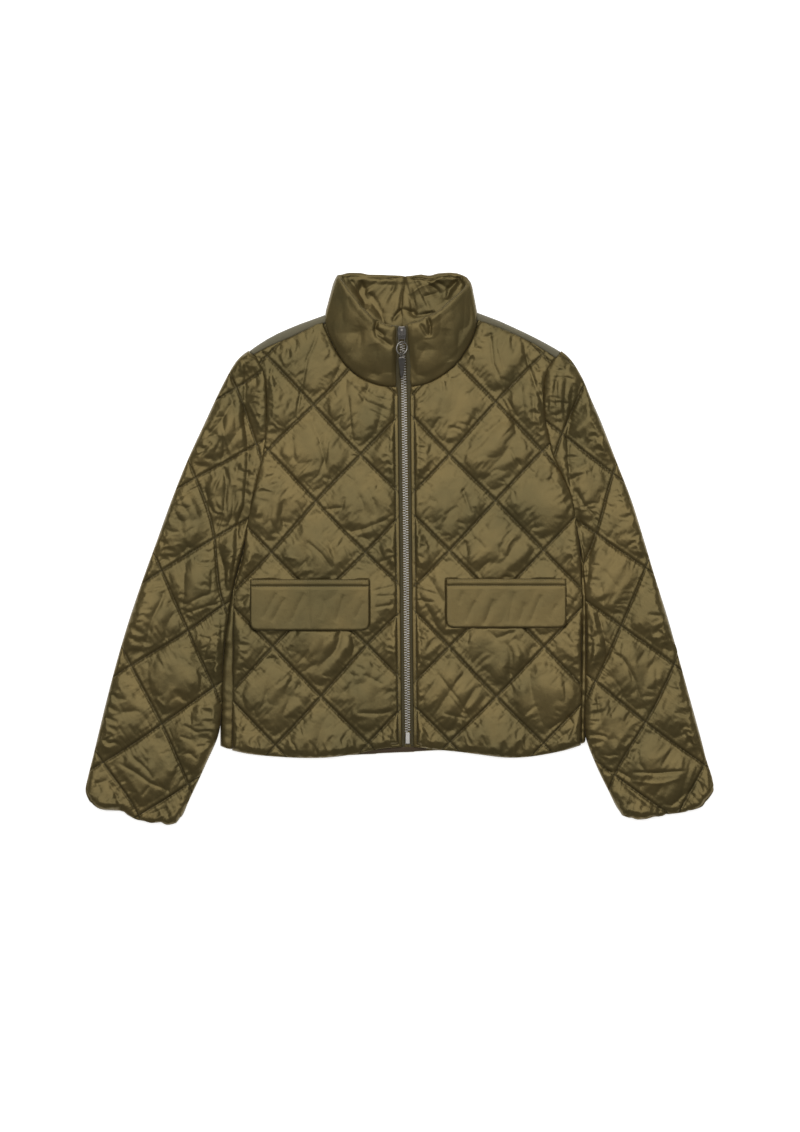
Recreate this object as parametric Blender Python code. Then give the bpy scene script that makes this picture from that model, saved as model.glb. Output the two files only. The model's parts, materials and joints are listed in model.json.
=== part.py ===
"""A quilted jacket with a stand collar and a metal front zip, laid flat on its back.

+X points to the wearer's left, +Y to the collar and +Z up from the surface that the
jacket lies on. Sizes are in millimetres; meshes are made in metres.
"""

from math import atan2, ceil, cos, floor, hypot, pi, radians, sin, sqrt

import bmesh
import bpy
from mathutils import Matrix, Vector

MM = 0.001
ORIGIN = Vector((0.6, -0.52, 0))   # the middle of the outline, where the part's origin is
GAP = 0.3                     # between pieces that meet at a seam

# Layers of the flat body
BACK_INSIDE = 9.5             # plain inside of the back
FRONT_INSIDE = 9.8            # plain inside of the fronts
STITCH = 12.8                 # bottom of a quilting groove
PUFF = 9.0                    # height of a quilted pillow above its grooves
PILLOW_POWER = 0.45
SEAM_TOP = 12.3               # both pieces end at this height along a seam
SHELL_STEP = 15.0             # longest edge along an outline
ROWS = (2.0, 7.0)             # insets of the rows that round an edge
CUTS = (0.13, 0.37, 0.63, 0.87)   # cuts between two stitch lines
MERGE = 1.4                   # cuts closer than this become one

# Edges of the panels: height of the edge, height of its foot, width of its rounding
SEAM_WIDTH = 11.0
HEM_TOP = 11.2
ZIP_TOP = 11.6
HEM_WIDTH = 9.0               # also the zip edge's
ROLL_TOP, ROLL_FOOT, ROLL_WIDTH = 9.2, 7.0, 13.0
CUFF_TOP, CUFF_FOOT, CUFF_WIDTH = 9.4, 6.6, 9.0
BACK_TOP, BACK_FOOT, BACK_WIDTH = 6.5, 4.5, 8.0

# Half diagonals of a body diamond, and the lean of the right front's columns
DIAMOND_X = 61.0
DIAMOND_Y = 63.0
DIAMOND_LEAN = 1.5

# Outlines, as x, y
RIGHT_HEM = [(-216.5, -262.9), (-202.8, -265.9), (-178, -269.3), (-129, -272.4), (-90, -271.7),
             (-56, -267.2), (-30, -261.9), (-12, -259.3), (3.2, -258.5)]
RIGHT_ZIP_EDGE = [(3.2, -258.5), (-2.0, 209.8)]
RIGHT_NECK = [(-2.0, 209.8), (-17.3, 210.1), (-36.4, 214.8), (-55.6, 224.9), (-71.2, 239.5),
              (-81.9, 254.8), (-91, 273), (-99.5, 293.2)]
RIGHT_SHOULDER = [(-99.5, 293.2), (-120.9, 283.4), (-140.1, 273.9), (-166, 263.1), (-189.2, 251.3)]
RIGHT_ARMHOLE = [(-189.2, 251.3), (-182.7, 241.8), (-176.2, 227.5), (-172.9, 209.3), (-172.2, 185.9),
                 (-172.5, 159.9), (-174.2, 135.2), (-178.8, 110.5), (-186.6, 79.3), (-193.7, 46.8),
                 (-197.9, 23.4)]
RIGHT_SIDE = [(-197.9, 23.4), (-202.2, -10.4), (-208.7, -35.1), (-213.5, -54.6), (-214.8, -106.6),
              (-215.4, -184.6), (-216.1, -230.1), (-216.5, -262.9)]
RIGHT_EDGE = [(-197.9, 23.4), (-205.4, -10.4), (-212.6, -35.1), (-219.4, -67.6), (-224.9, -106.6),
              (-229.2, -145.6), (-230.6, -197.6), (-231.2, -230.1), (-231.2, -258.1)]
RIGHT_TOP = [(-98.8, 304.9), (-129.3, 292.1), (-148.2, 284.3), (-166, 275.9), (-183.3, 265.2),
             (-195.9, 256.1)]
RIGHT_UNDERARM = [(-197.9, 23.4), (-205.4, -10.4), (-212.6, -35.1), (-219.4, -67.6), (-224.9, -106.6),
                  (-229.2, -145.6), (-230.8, -197.6), (-232.6, -226.2), (-237.2, -248.3),
                  (-249.6, -275.6), (-261.3, -301.6), (-273.7, -327.6), (-281.5, -347)]
RIGHT_CUFF = [(-281.5, -347), (-289.9, -356.2), (-300.3, -358.2), (-314.6, -356.9), (-328.9, -354.2),
              (-344.5, -349.7), (-360.1, -342.6), (-375.7, -339.9), (-390, -337.4), (-401.5, -329)]
RIGHT_OUTER = [(-401.5, -329), (-406.8, -314), (-404.3, -299), (-397.8, -273), (-392.2, -249.6),
               (-379.6, -197.6), (-365.9, -145.6), (-350.4, -93.6), (-332.8, -41.6), (-313.9, 10.4),
               (-295.1, 62.4), (-274.3, 114.4), (-250.2, 166.4), (-238.2, 192.4), (-225.4, 218.4),
               (-210, 244.4), (-195.9, 256.1)]

LEFT_HEM = [(236, -256.1), (219.7, -261.3), (201.5, -265.6), (170.3, -270.8), (139.1, -272.1),
            (107.9, -268.4), (79.3, -264.6), (55.5, -262.3), (35.5, -259.8), (19.5, -258.5)]
LEFT_ZIP_EDGE = [(19.5, -258.5), (15.0, 209.8)]
LEFT_NECK = [(15.0, 209.8), (35, 213.3), (57.6, 224.9), (75, 239.5), (88.9, 258.7), (97.5, 275.6),
             (103.1, 296.4)]
LEFT_SHOULDER = [(103.1, 296.4), (134.9, 284.1), (165.1, 270.4), (184.6, 259.4), (204.1, 246.6)]
LEFT_ARMHOLE = [(204.1, 246.6), (197, 239.2), (192.1, 227.5), (188.9, 209.3), (188.5, 184.6),
                (192.4, 153.4), (199.7, 124), (208.7, 101.4), (219.1, 80.6), (226.2, 58.5),
                (231.4, 23.4)]
LEFT_SIDE = [(231.4, 23.4), (234.7, 0), (236.6, -35.1), (237.2, -70.2), (236.6, -132.6),
             (236.3, -197.6), (235.7, -226.2), (236, -256.1)]
LEFT_EDGE = [(231.4, 23.4), (237.2, -9.1), (240.8, -41.6), (243.1, -80.6), (243.8, -119.6),
             (243.8, -158.6), (242.7, -197.6), (241.5, -226.2), (241.5, -252)]
LEFT_TOP = [(103.4, 308.1), (134.9, 294.3), (169.5, 278.2), (195.4, 264.8), (211.2, 255.5)]
LEFT_UNDERARM = [(231.4, 23.4), (237.2, -9.1), (240.8, -41.6), (243.1, -80.6), (243.8, -119.6),
                 (243.8, -158.6), (242.8, -197.6), (241.9, -226.2), (244.4, -249.6), (260, -288.6),
                 (273, -314.6), (283, -336)]
LEFT_CUFF = [(283, -336), (291, -347.8), (301, -351), (313.3, -351), (328.9, -349.4),
             (344.5, -347.1), (360.1, -344.5), (375.7, -341.2), (388.7, -336.7), (400, -328.5)]
LEFT_OUTER = [(400, -328.5), (408, -314), (407.3, -300.3), (399.1, -275.6), (392.6, -249.6),
              (378.3, -197.6), (364, -145.6), (349.7, -93.6), (333.4, -41.6), (317.9, 10.4),
              (301.6, 62.4), (281.4, 114.4), (261.3, 166.4), (249.6, 192.4), (239.2, 218.4),
              (223.6, 244.4), (211.2, 255.5)]

BACK_NECK = [(-99.5, 293.2), (-76.7, 287.3), (-37.7, 282.8), (1.3, 281.4), (40.3, 283.4),
             (79.3, 288.6), (103.1, 296.4)]
BACK_HEM = [(-224, -259.6), (-180.7, -267.3), (-128.7, -271), (-92.3, -271.7), (-50.7, -269.8),
            (-19.5, -267.8), (9.9, -266.5), (35.1, -264.9), (62.4, -263.9), (92.3, -265.2),
            (139.1, -270), (183.3, -267.2), (238.5, -254.4)]

# Collar stations from the zip round to the centre back: the seam point x, y, z, the top
# edge point x, y, z, and half the padded thickness
RIGHT_COLLAR = [
    (-3.7, 210.8, 12.6, -3.9, 287, 32, 4.6),
    (-17, 211.3, 12.6, -14, 289, 32.5, 5.0),
    (-36, 216.2, 12.6, -27, 294, 32.5, 5.4),
    (-54.8, 226.4, 12.6, -40, 304.5, 32, 5.6),
    (-70, 241.2, 12.6, -53, 319, 30, 5.6),
    (-80.2, 256.5, 12.6, -64, 331.5, 26.5, 5.4),
    (-88.6, 274, 12.6, -72, 342, 21.5, 5.0),
    (-94, 288.5, 12.6, -77.5, 350, 16.5, 4.6),
    (-94.6, 296.5, 9.5, -78, 355, 11.5, 4.4),
    (-89, 296, 6.4, -70, 356.3, 8, 4.8),
    (-78, 291, 5.2, -58, 356.5, 6.6, 5.2),
    (-58, 287.4, 5.0, -42, 356.3, 6.2, 5.2),
    (-37, 284.8, 5.0, -22, 356, 6.0, 5.2),
    (-15, 283.8, 5.0, -6, 355.6, 6.0, 5.2),
    (3.6, 283.6, 5.0, 7.4, 354.4, 6.0, 5.2),
]
LEFT_COLLAR = [
    (15.2, 210.8, 12.6, 10.6, 290, 32, 4.6),
    (35, 214.6, 12.6, 24, 292.5, 32.5, 5.0),
    (57, 226.4, 12.6, 36, 299.5, 32.5, 5.4),
    (73.8, 241, 12.6, 48, 306, 32, 5.6),
    (87, 259.4, 12.6, 62, 317, 30, 5.6),
    (95, 276, 12.6, 75, 327, 26, 5.4),
    (98.6, 289, 12.6, 85, 338, 21, 5.0),
    (98.6, 298.5, 9.5, 89, 346, 15.5, 4.6),
    (93, 297.5, 6.4, 87, 351.5, 10.5, 4.4),
    (80, 292.4, 5.2, 76, 356, 7.6, 4.8),
    (62, 289, 5.0, 62, 357, 6.6, 5.2),
    (40, 286.4, 5.0, 42, 356.5, 6.2, 5.2),
    (20, 284.8, 5.0, 22, 355.6, 6.0, 5.2),
    (4.4, 284.2, 5.0, 8.2, 354.4, 6.0, 5.2),
]
# Across the collar from seam to top edge: share of the height, share of the half thickness
COLLAR_PROFILE = [(0.0, 0.42), (0.05, 0.62), (0.2, 0.95), (0.5, 1.0), (0.8, 1.0), (0.93, 0.8),
                  (0.985, 0.45)]
COLLAR_STEP = 14.0

COLLAR_PINCH = (0.3, 0.45)    # share of the thickness at the zip and at the centre back

# Rolled strip, from its seam to its free edge: share of the width, height
ROLL_PROFILE = [(0.0, 0.0), (0.0, SEAM_TOP), (0.2, 13.6), (0.48, 13.4), (0.75, 11.6), (0.93, 8.8),
                (1.0, 5.4), (0.94, 2.2), (0.78, 0.0)]
ROLL_GAP = 0.2                # from a seam line to a roll beside it
ROLL_START = 0.06             # share of the side seam above the side roll
ROLL_MIDDLE = 0.45            # where the back's plate ends under the side roll
ROLL_POINTS = 16

# Inside of a sleeve: its insets from armhole, underarm, cuff and outer fold, each with the
# number of points left off at both of its ends
SLIT = ((-6, 2), (9, 1), (-6, 3), (9, 2))

# Pocket flaps: x of both sides, y of the bottom and top
RIGHT_FLAP = (-193.5, -38.3, -107.5, -40.5)
LEFT_FLAP = (61.0, 217.5, -104.0, -39.6)
FLAP_REST = 17.5              # the pillows are pressed down to this under a flap
FLAP_THICKNESS = 4.6
FLAP_BAND = 9.5               # stitched band along the top edge
FLAP_CORNER = 8.0
FLAP_LIFT = 0.4               # from the pressed pillows to the flap
FLAP_ROUNDING = 4.0
FLAP_MARGIN = 1.0             # width of the pressed part outside a flap
FLAP_SLOPE = 0.9              # rise of the pillows outside it
FLAP_GROOVE = 1.1             # depth of the band's stitch line
GROOVE_HALF = 1.6

# Facing of the back hem: x of both ends, gap to the fronts and overlap on the back
FACING_ENDS = (-52.0, 42.0)
FACING_GAP = 0.6
FACING_OVERLAP = 1.5
FACING_THICKNESS = 1.2

# Zip: y, x and the middle height of the tape
ZIP_PATH = [(-258, 11.4, 10.5), (-120, 10.1, 10.5), (36, 8.6, 10.5), (140, 7.3, 10.5),
            (193, 6.6, 10.6), (212, 6.2, 12.9), (270, 3.9, 28.4), (290, 3.3, 33.7)]
OPENING = ((-258.5, 3.2, 19.5), (209.8, -2.0, 15.0), (287.8, -3.9, 10.6))   # y, both edges' x
TAPE_THICKNESS = 1.2
TAPE_PLAY = 0.45              # from the tape to the cloth edge
CHAIN_WIDTH = 7.8
CHAIN_THICKNESS = 3.2
CHAIN_BEVEL = 0.8
CHAIN_BOTTOM = -239.7
CHAIN_TOP = 268.5
TAPE_BOTTOM = -258.0
TAPE_TOP = 288.0
BOX_LENGTH = 15.0
BOX_WIDTH = 7.0
BOX_HEIGHTS = (3.2, 4.4)      # of its sides and its top
BOX_BEVEL = 1.0

# Slider and pull, in a frame that lies along the collar
SLIDER_Y = 279.0
SLIDER_HEIGHT = 5.2
SLIDER_SLOT = 2.2
SLIDER_NECK = 1.9             # half width of the core between the two plates
SLIDER_PLAN = [(-3.9, -8.5), (3.9, -8.5), (5.1, -7.2), (5.7, -3.0), (5.5, 3.0), (4.9, 7.2),
               (3.3, 8.5), (1.2, 7.9), (-1.2, 7.9), (-3.3, 8.5), (-4.9, 7.2), (-5.5, 3.0),
               (-5.7, -3.0), (-5.1, -7.2)]
SLIDER_BEVEL = 0.4
BRIDGE_PROFILE = [(-5.2, 2.2), (-5.2, 5.0), (-3.6, 6.9), (4.0, 6.9), (5.8, 5.0), (5.8, 2.2),
                  (4.4, 2.2), (4.4, 4.6), (3.6, 5.5), (-3.0, 5.5), (-3.8, 4.6), (-3.8, 2.2)]
BRIDGE_HALF = 1.5
BAR_Y = -1.4                  # link's upper bar, from the slider's middle
BAR_Z = 4.2
LINK_LENGTH = 11.7            # between its two bars
LINK_HALF_WIDTH = 3.8
LINK_WIRE = 0.6
LINK_ANGLE = radians(19)
LINK_CORNER = 1.3
RING_RADIUS = 8.3
RING_WIRE = 0.85
RING_PLAY = 2.3               # ring wire to the link's lower bar, middle to middle
RING_TILT = radians(35)
RING_STEPS = 28
EYE_RADIUS = 2.9
EYE_WIRE = 0.85
TAB_LENGTH = 31.0
TAB_WIDTHS = (8.6, 3.6)
TAB_THICKNESS = 1.6
TAB_ANGLE = radians(-5)
TAB_SHOULDER = (1.2, 3.4)     # from its top to its sides and to its full width
TAB_POINT = (1.2, 2.0)        # the same at its end
TAB_BEVEL = (0.3, 0.93)       # height of the bevel and scale of its face


# ---------------------------------------------------------------- outlines

def smooth(knots, step=SHELL_STEP):
    """Points along a Catmull-Rom curve through the knots."""
    points = []
    last = len(knots) - 1
    for k in range(last):
        p0, p1, p2, p3 = (Vector(knots[max(0, min(last, k + n))]) for n in (-1, 0, 1, 2))
        if k == 0:
            p0 = 2 * p1 - p2
        if k == last - 1:
            p3 = 2 * p2 - p1
        count = max(1, ceil((p2 - p1).length / step))
        for n in range(count):
            t = n / count
            points.append(0.5 * ((2 * p1) + (p2 - p0) * t + (2 * p0 - 5 * p1 + 4 * p2 - p3) * t * t
                                 + (3 * p1 - p0 - 3 * p2 + p3) * t ** 3))
    points.append(Vector(knots[-1]))
    return points


def length(points):
    return sum((b - a).length for a, b in zip(points, points[1:]))


def along(points, share):
    """The point at a share of a polyline's length."""
    lengths = [(b - a).length for a, b in zip(points, points[1:])]
    target = share * sum(lengths)
    for start, end, length in zip(points, points[1:], lengths):
        if target <= length:
            return start.lerp(end, target / length)
        target -= length
    return points[-1]


def distance(points, x, y):
    """The distance from a point to a polyline in the plane."""
    best = 1e9
    for a, b in zip(points, points[1:]):
        dx, dy = b.x - a.x, b.y - a.y
        t = ((x - a.x) * dx + (y - a.y) * dy) / (dx * dx + dy * dy)
        t = max(0.0, min(1.0, t))
        best = min(best, hypot(x - a.x - t * dx, y - a.y - t * dy))
    return best


def signed_area(loop):
    return 0.5 * sum(a.x * b.y - b.x * a.y for a, b in zip(loop, loop[1:] + loop[:1]))


def inset_loop(loop, amount):
    """A closed anticlockwise loop moved inward, one point for each of its points."""
    count = len(loop)
    result = []
    for n, point in enumerate(loop):
        before = next((point - loop[n - k] for k in range(1, count)
                       if (point - loop[n - k]).length > 0.01))
        after = next((loop[(n + k) % count] - point for k in range(1, count)
                      if (loop[(n + k) % count] - point).length > 0.01))
        first = Vector((-before.y, before.x)).normalized()
        second = Vector((-after.y, after.x)).normalized()
        middle = (first + second).normalized()
        result.append(point + middle * (amount / max(0.45, middle.dot(second))))
    for _ in range(6):
        for n in range(count):
            after = (n + 1) % count
            if (result[after] - result[n]).dot(loop[after] - loop[n]) <= 0:
                middle = (result[n] + result[after]) / 2
                result[n] = middle.copy()
                result[after] = middle
    return result


def rise(share):
    """A quarter circle: 0 at an edge, 1 from the rounding's width on."""
    share = max(0.0, min(1.0, share))
    return sqrt(1 - (1 - share) ** 2)


# ---------------------------------------------------------------- quilting

class Lattice:
    """Two families of stitch lines through an origin, one cell apart."""

    def __init__(self, origin, first, second):
        self.origin = Vector(origin)
        self.first = Vector(first)
        self.second = Vector(second)
        self.area = self.first.cross(self.second)

    def coordinates(self, x, y):
        offset = Vector((x, y)) - self.origin
        return offset.cross(self.second) / self.area, self.first.cross(offset) / self.area

    def pillow(self, x, y):
        """0 on a stitch line and 1 in the middle of a cell."""
        i, j = self.coordinates(x, y)
        a, b = i - floor(i), j - floor(j)
        return max(0.0, 16 * a * (1 - a) * b * (1 - b)) ** PILLOW_POWER

    def lines(self, loop, shares):
        """A point and a normal for each line that may cross a loop."""
        places = [self.coordinates(p.x, p.y) for p in loop]
        for family, step, direction in ((0, self.first, self.second), (1, self.second, self.first)):
            low = floor(min(place[family] for place in places))
            high = ceil(max(place[family] for place in places))
            for whole in range(low, high + 1):
                for share in shares:
                    yield self.origin + step * (whole + share), Vector((-direction.y, direction.x))


RIGHT_LATTICE = Lattice((-106, 60.6), (DIAMOND_X - DIAMOND_LEAN, DIAMOND_Y),
                        (DIAMOND_X + DIAMOND_LEAN, -DIAMOND_Y))
LEFT_LATTICE = Lattice((126.1, 61), (DIAMOND_X, DIAMOND_Y), (DIAMOND_X, -DIAMOND_Y))
RIGHT_SLEEVE_LATTICE = Lattice((-273.5, -107.5), (34.5, -76), (75.4, 46))
LEFT_SLEEVE_LATTICE = Lattice((289, -102), (-33.2, -74.8), (70.2, -50.7))


# ---------------------------------------------------------------- panels

class Side:
    """One side of a panel's outline: its edge's top and foot heights and its rounding."""

    def __init__(self, knots, top, foot=None, width=SEAM_WIDTH):
        self.points = smooth(knots)
        self.top = top
        self.foot = foot
        self.width = width


def seam(knots):
    return Side(knots, SEAM_TOP)


def roll(knots):
    return Side(knots, ROLL_TOP, ROLL_FOOT, ROLL_WIDTH)


class Panel:
    """A flat-laid padded piece with rounded edges and a plain underside."""

    def __init__(self, sides, base, stitch=STITCH, puff=PUFF, lattice=None, flap=None, groove=None):
        self.sides = sorted(sides, key=lambda side: -side.top)
        self.groove = groove
        self.base = base
        self.stitch = stitch
        self.puff = puff
        self.lattice = lattice
        self.flap = flap
        loop = [point for side in sides for point in side.points[:-1]]
        if signed_area(loop) < 0:
            loop.reverse()
        self.loops = [inset_loop(loop, GAP / 2)]
        for inner, outer in zip(ROWS, (0.0,) + ROWS):
            self.loops.append(inset_loop(self.loops[-1], inner - outer))

    def top(self, x, y):
        pillow = self.lattice.pillow(x, y) if self.lattice else 0.0
        z = self.stitch + self.puff * pillow
        if self.flap:
            x0, x1, y0, y1 = self.flap
            outside = hypot(max(x0 - x, 0, x - x1), max(y0 - y, 0, y - y1)) - FLAP_MARGIN
            z = min(z, FLAP_REST + FLAP_SLOPE * max(outside, 0))
        if self.groove:
            line, depth = self.groove
            z -= depth * max(0.0, 1 - abs(y - line) / GROOVE_HALF)
        for side in self.sides:
            z = side.top + (z - side.top) * rise(distance(side.points, x, y) / side.width)
        return z

    def bottom(self, x, y):
        z = self.base
        for side in self.sides:
            if side.foot is not None:
                z = side.foot + (z - side.foot) * rise(distance(side.points, x, y) / side.width)
        return z

    def inset_point(self, place, row):
        """The place on an inset loop that belongs to a place (index, share) on the outline."""
        index, share = place
        loop = self.loops[row]
        return loop[index].lerp(loop[(index + 1) % len(loop)], share)

    def place_on_outline(self, x, y):
        loop = self.loops[0]
        point = Vector((x, y))
        best = None
        for index, start in enumerate(loop):
            run = loop[(index + 1) % len(loop)] - start
            if run.length < 1e-6:
                continue
            share = max(0.0, min(1.0, (point - start).dot(run) / run.length_squared))
            off = (point - start - run * share).length
            if best is None or off < best[0]:
                best = (off, index, share)
        return best[1:]

    def cut(self, bm, faces, lines):
        """Cut faces along lines and return the faces that they became."""
        for point, normal in lines:
            geometry = set(faces)
            for face in faces:
                geometry.update(face.edges)
                geometry.update(face.verts)
            result = bmesh.ops.bisect_plane(bm, geom=list(geometry), dist=0.02,
                                            plane_co=point.to_3d(), plane_no=normal.to_3d())
            faces = [item for item in result["geom"] if isinstance(item, bmesh.types.BMFace)]
        return faces

    def plan(self):
        """The panel's outline, rows and stitch lines as a flat mesh."""
        bm = bmesh.new()
        loops = [[bm.verts.new(p.to_3d()) for p in loop] for loop in self.loops]
        count = len(loops[0])
        for outer, inner in zip(loops, loops[1:]):
            for n in range(count):
                after = (n + 1) % count
                bm.faces.new((outer[n], outer[after], inner[after], inner[n]))
        bmesh.ops.remove_doubles(bm, verts=bm.verts[:], dist=0.05)
        rim = [edge for edge in bm.edges if edge.is_boundary
               and self.outline_distance(edge) > ROWS[-1] / 3]
        core = bmesh.ops.edgeloop_fill(bm, edges=rim)["faces"]
        if self.lattice:
            self.cut(bm, core, self.lattice.lines(self.loops[0], CUTS))
            self.cut(bm, bm.faces[:], self.lattice.lines(self.loops[0], (0.0,)))
        if self.flap:
            self.cut(bm, bm.faces[:], self.flap_lines())
        if self.groove:
            lines = [(Vector((0, self.groove[0] + offset)), Vector((0, 1)))
                     for offset in (-GROOVE_HALF, 0, GROOVE_HALF)]
            self.cut(bm, bm.faces[:], lines)
        if self.lattice:
            inner = [vert for vert in bm.verts if not vert.is_boundary]
            bmesh.ops.remove_doubles(bm, verts=inner, dist=MERGE)
        return bm

    def outline_distance(self, edge):
        middle = (edge.verts[0].co + edge.verts[1].co) / 2
        return distance(self.loops[0] + self.loops[0][:1], middle.x, middle.y)

    def flap_lines(self):
        x0, x1, y0, y1 = self.flap
        left, right = Vector((x0 - FLAP_MARGIN, 0)), Vector((x1 + FLAP_MARGIN, 0))
        low, high = Vector((0, y0 - FLAP_MARGIN)), Vector((0, y1 + FLAP_MARGIN))
        across, up = Vector((1, 0)), Vector((0, 1))
        return [(left, across), (right, across), (low, up), (high, up)]

    def build(self, name, material):
        bm = self.plan()
        for vert in bm.verts:
            vert.co.z = self.top(vert.co.x, vert.co.y)
        above = boundary_loop(bm)
        places = [self.place_on_outline(vert.co.x, vert.co.y) for vert in above]
        rolled = any(side.foot is not None for side in self.sides)
        underside = []
        for row in range(len(self.loops) if rolled else 1):
            below = []
            for vert, place in zip(above, places):
                point = self.inset_point(place, row) if row else vert.co.xy
                below.append(bm.verts.new((point.x, point.y, self.bottom(point.x, point.y))))
            for n in range(len(above)):
                bm.faces.new((above[n - 1], above[n], below[n], below[n - 1]))
            underside += below
            above = below
        bmesh.ops.remove_doubles(bm, verts=underside, dist=0.05)
        bmesh.ops.edgeloop_fill(bm, edges=[edge for edge in bm.edges if edge.is_boundary])
        return make_object(name, bm, material)


def boundary_loop(bm):
    """The vertices round a mesh's only open edge, in order."""
    edges = [edge for edge in bm.edges if edge.is_boundary]
    loop = [edges[0].verts[0], edges[0].verts[1]]
    while len(loop) < len(edges):
        edge = next(e for e in loop[-1].link_edges if e.is_boundary and loop[-2] not in e.verts)
        loop.append(edge.other_vert(loop[-1]))
    return loop


# ---------------------------------------------------------------- objects

def make_object(name, bm, material, matrix=Matrix()):
    """A closed mesh in millimetres becomes an object in metres, placed by a matrix."""
    bmesh.ops.triangulate(bm, faces=bm.faces[:])
    bmesh.ops.recalc_face_normals(bm, faces=bm.faces[:])
    bmesh.ops.scale(bm, vec=(MM, MM, MM), verts=bm.verts[:])
    mesh = bpy.data.meshes.new(name)
    bm.to_mesh(mesh)
    bm.free()
    mesh.materials.append(material)
    mesh.shade_smooth()
    mesh.set_sharp_from_angle(angle=radians(40))
    item = bpy.data.objects.new(name, mesh)
    item.matrix_world = Matrix.Translation(-ORIGIN * MM) @ matrix
    bpy.context.scene.collection.objects.link(item)
    return item


def make_material(name, colour, roughness, metallic=0.0):
    item = bpy.data.materials.new(name)
    item.use_nodes = True
    shader = item.node_tree.nodes["Principled BSDF"]
    shader.inputs["Base Color"].default_value = (*colour, 1.0)
    shader.inputs["Roughness"].default_value = roughness
    shader.inputs["Metallic"].default_value = metallic
    return item


def loft(name, sections, shared_material, matrix=Matrix()):
    """A closed solid through equal sections, its two ends filled."""
    bm = bmesh.new()
    rings = [[bm.verts.new(point) for point in section] for section in sections]
    for first, second in zip(rings, rings[1:]):
        for n in range(len(first)):
            bm.faces.new((first[n - 1], first[n], second[n], second[n - 1]))
    bm.faces.new(rings[0])
    bm.faces.new(reversed(rings[-1]))
    return make_object(name, bm, shared_material, matrix)


def slab(name, loop, low, high, shared_material):
    """A flat plate with a plan outline."""
    return loft(name, [[(p.x, p.y, z) for p in loop] for z in (low, high)], shared_material)


def combine(item, others, operation, solver="EXACT"):
    """Boolean others into an object and keep only the result."""
    for other in others:
        modifier = item.modifiers.new(operation.title(), "BOOLEAN")
        modifier.operation = operation
        modifier.object = other
        modifier.solver = solver
    bpy.context.view_layer.update()
    evaluated = item.evaluated_get(bpy.context.evaluated_depsgraph_get())
    bm = bmesh.new()
    bm.from_mesh(evaluated.to_mesh())
    item.modifiers.clear()
    bmesh.ops.dissolve_limit(bm, angle_limit=radians(0.4), verts=bm.verts[:], edges=bm.edges[:])
    bmesh.ops.triangulate(bm, faces=bm.faces[:])
    bm.to_mesh(item.data)
    bm.free()
    for other in others:
        bpy.data.objects.remove(other)
    return item


# ---------------------------------------------------------------- body

def front(name, outlines, lattice, flap, cloth):
    hem, zip_edge, *seams = outlines
    sides = [Side(hem, HEM_TOP, width=HEM_WIDTH), Side(zip_edge, ZIP_TOP, width=HEM_WIDTH)]
    sides += [seam(knots) for knots in seams]
    return Panel(sides, FRONT_INSIDE, lattice=lattice, flap=flap).build(name, cloth)


def rolled_strip(name, inner, outer, first, cloth):
    """A roll of padded cloth between a seam line and a free edge, from a share of its length on."""
    inner, outer = smooth(inner), smooth(outer)
    total = length(inner)
    shares = [length(inner[:n + 1]) / total for n in range(len(inner))]
    sections = []
    for share in [first] + [share for share in shares if share > first + 0.01]:
        start, end = along(inner, share), along(outer, share)
        across = (end - start).normalized()
        start = start + across * ROLL_GAP
        end = end - across * GAP / 2
        sections.append([(*start.lerp(end, part), z) for part, z in ROLL_PROFILE])
    return loft(name, sections, cloth)


def middle_line(first, second):
    """A polyline between two others."""
    first, second = smooth(first), smooth(second)
    shares = [n / ROLL_POINTS for n in range(ROLL_POINTS + 1)]
    return [along(first, share).lerp(along(second, share), ROLL_MIDDLE)[:] for share in shares]


def back(cloth):
    """The plain padded back, with its sides rolled up beside the fronts."""
    right = middle_line(RIGHT_SIDE, RIGHT_EDGE)
    left = middle_line(LEFT_SIDE, LEFT_EDGE)
    hem = [right[-1]] + BACK_HEM[1:-1] + [left[-1]]
    sides = [seam_level(BACK_NECK), seam_level(LEFT_SHOULDER), seam_level(LEFT_ARMHOLE),
             seam_level(left), Side(hem[::-1], BACK_TOP, BACK_FOOT, BACK_WIDTH),
             seam_level(right[::-1]),
             seam_level(RIGHT_ARMHOLE[::-1]), seam_level(RIGHT_SHOULDER[::-1])]
    plate = Panel(sides, 0.0, stitch=BACK_INSIDE, puff=0.0).build("back", cloth)
    rolls = [rolled_strip("roll", inner, outer, ROLL_START, cloth)
             for inner, outer in ((RIGHT_SIDE, RIGHT_EDGE), (LEFT_SIDE, LEFT_EDGE))]
    return combine(plate, rolls, "UNION")


def seam_level(knots):
    return Side(knots, BACK_INSIDE)


def shoulder_strips(cloth):
    for side, inner, outer in (("right", RIGHT_SHOULDER, RIGHT_TOP), ("left", LEFT_SHOULDER, LEFT_TOP)):
        rolled_strip(f"shoulder_strip_{side}", inner, outer, 0.0, cloth)


def sleeve(name, armhole, under, cuff, outer, lattice, cloth):
    """A quilted tube pressed flat, open at the armhole and the cuff."""
    closing = [outer[-1], armhole[0]]
    sides = [seam(armhole), roll(under), Side(cuff, CUFF_TOP, CUFF_FOOT, CUFF_WIDTH), roll(outer),
             seam(closing)]
    panel = Panel(sides, 0.0, lattice=lattice)
    item = panel.build(name, cloth)
    slit = slab("slit", slit_outline(armhole, under, cuff, outer), BACK_INSIDE, FRONT_INSIDE, cloth)
    return combine(item, [slit], "DIFFERENCE")


def offset_line(points, amount):
    """An open polyline moved to its left."""
    result = []
    for n, point in enumerate(points):
        run = points[min(n + 1, len(points) - 1)] - points[max(n - 1, 0)]
        result.append(point + Vector((-run.y, run.x)).normalized() * amount)
    return result


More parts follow.
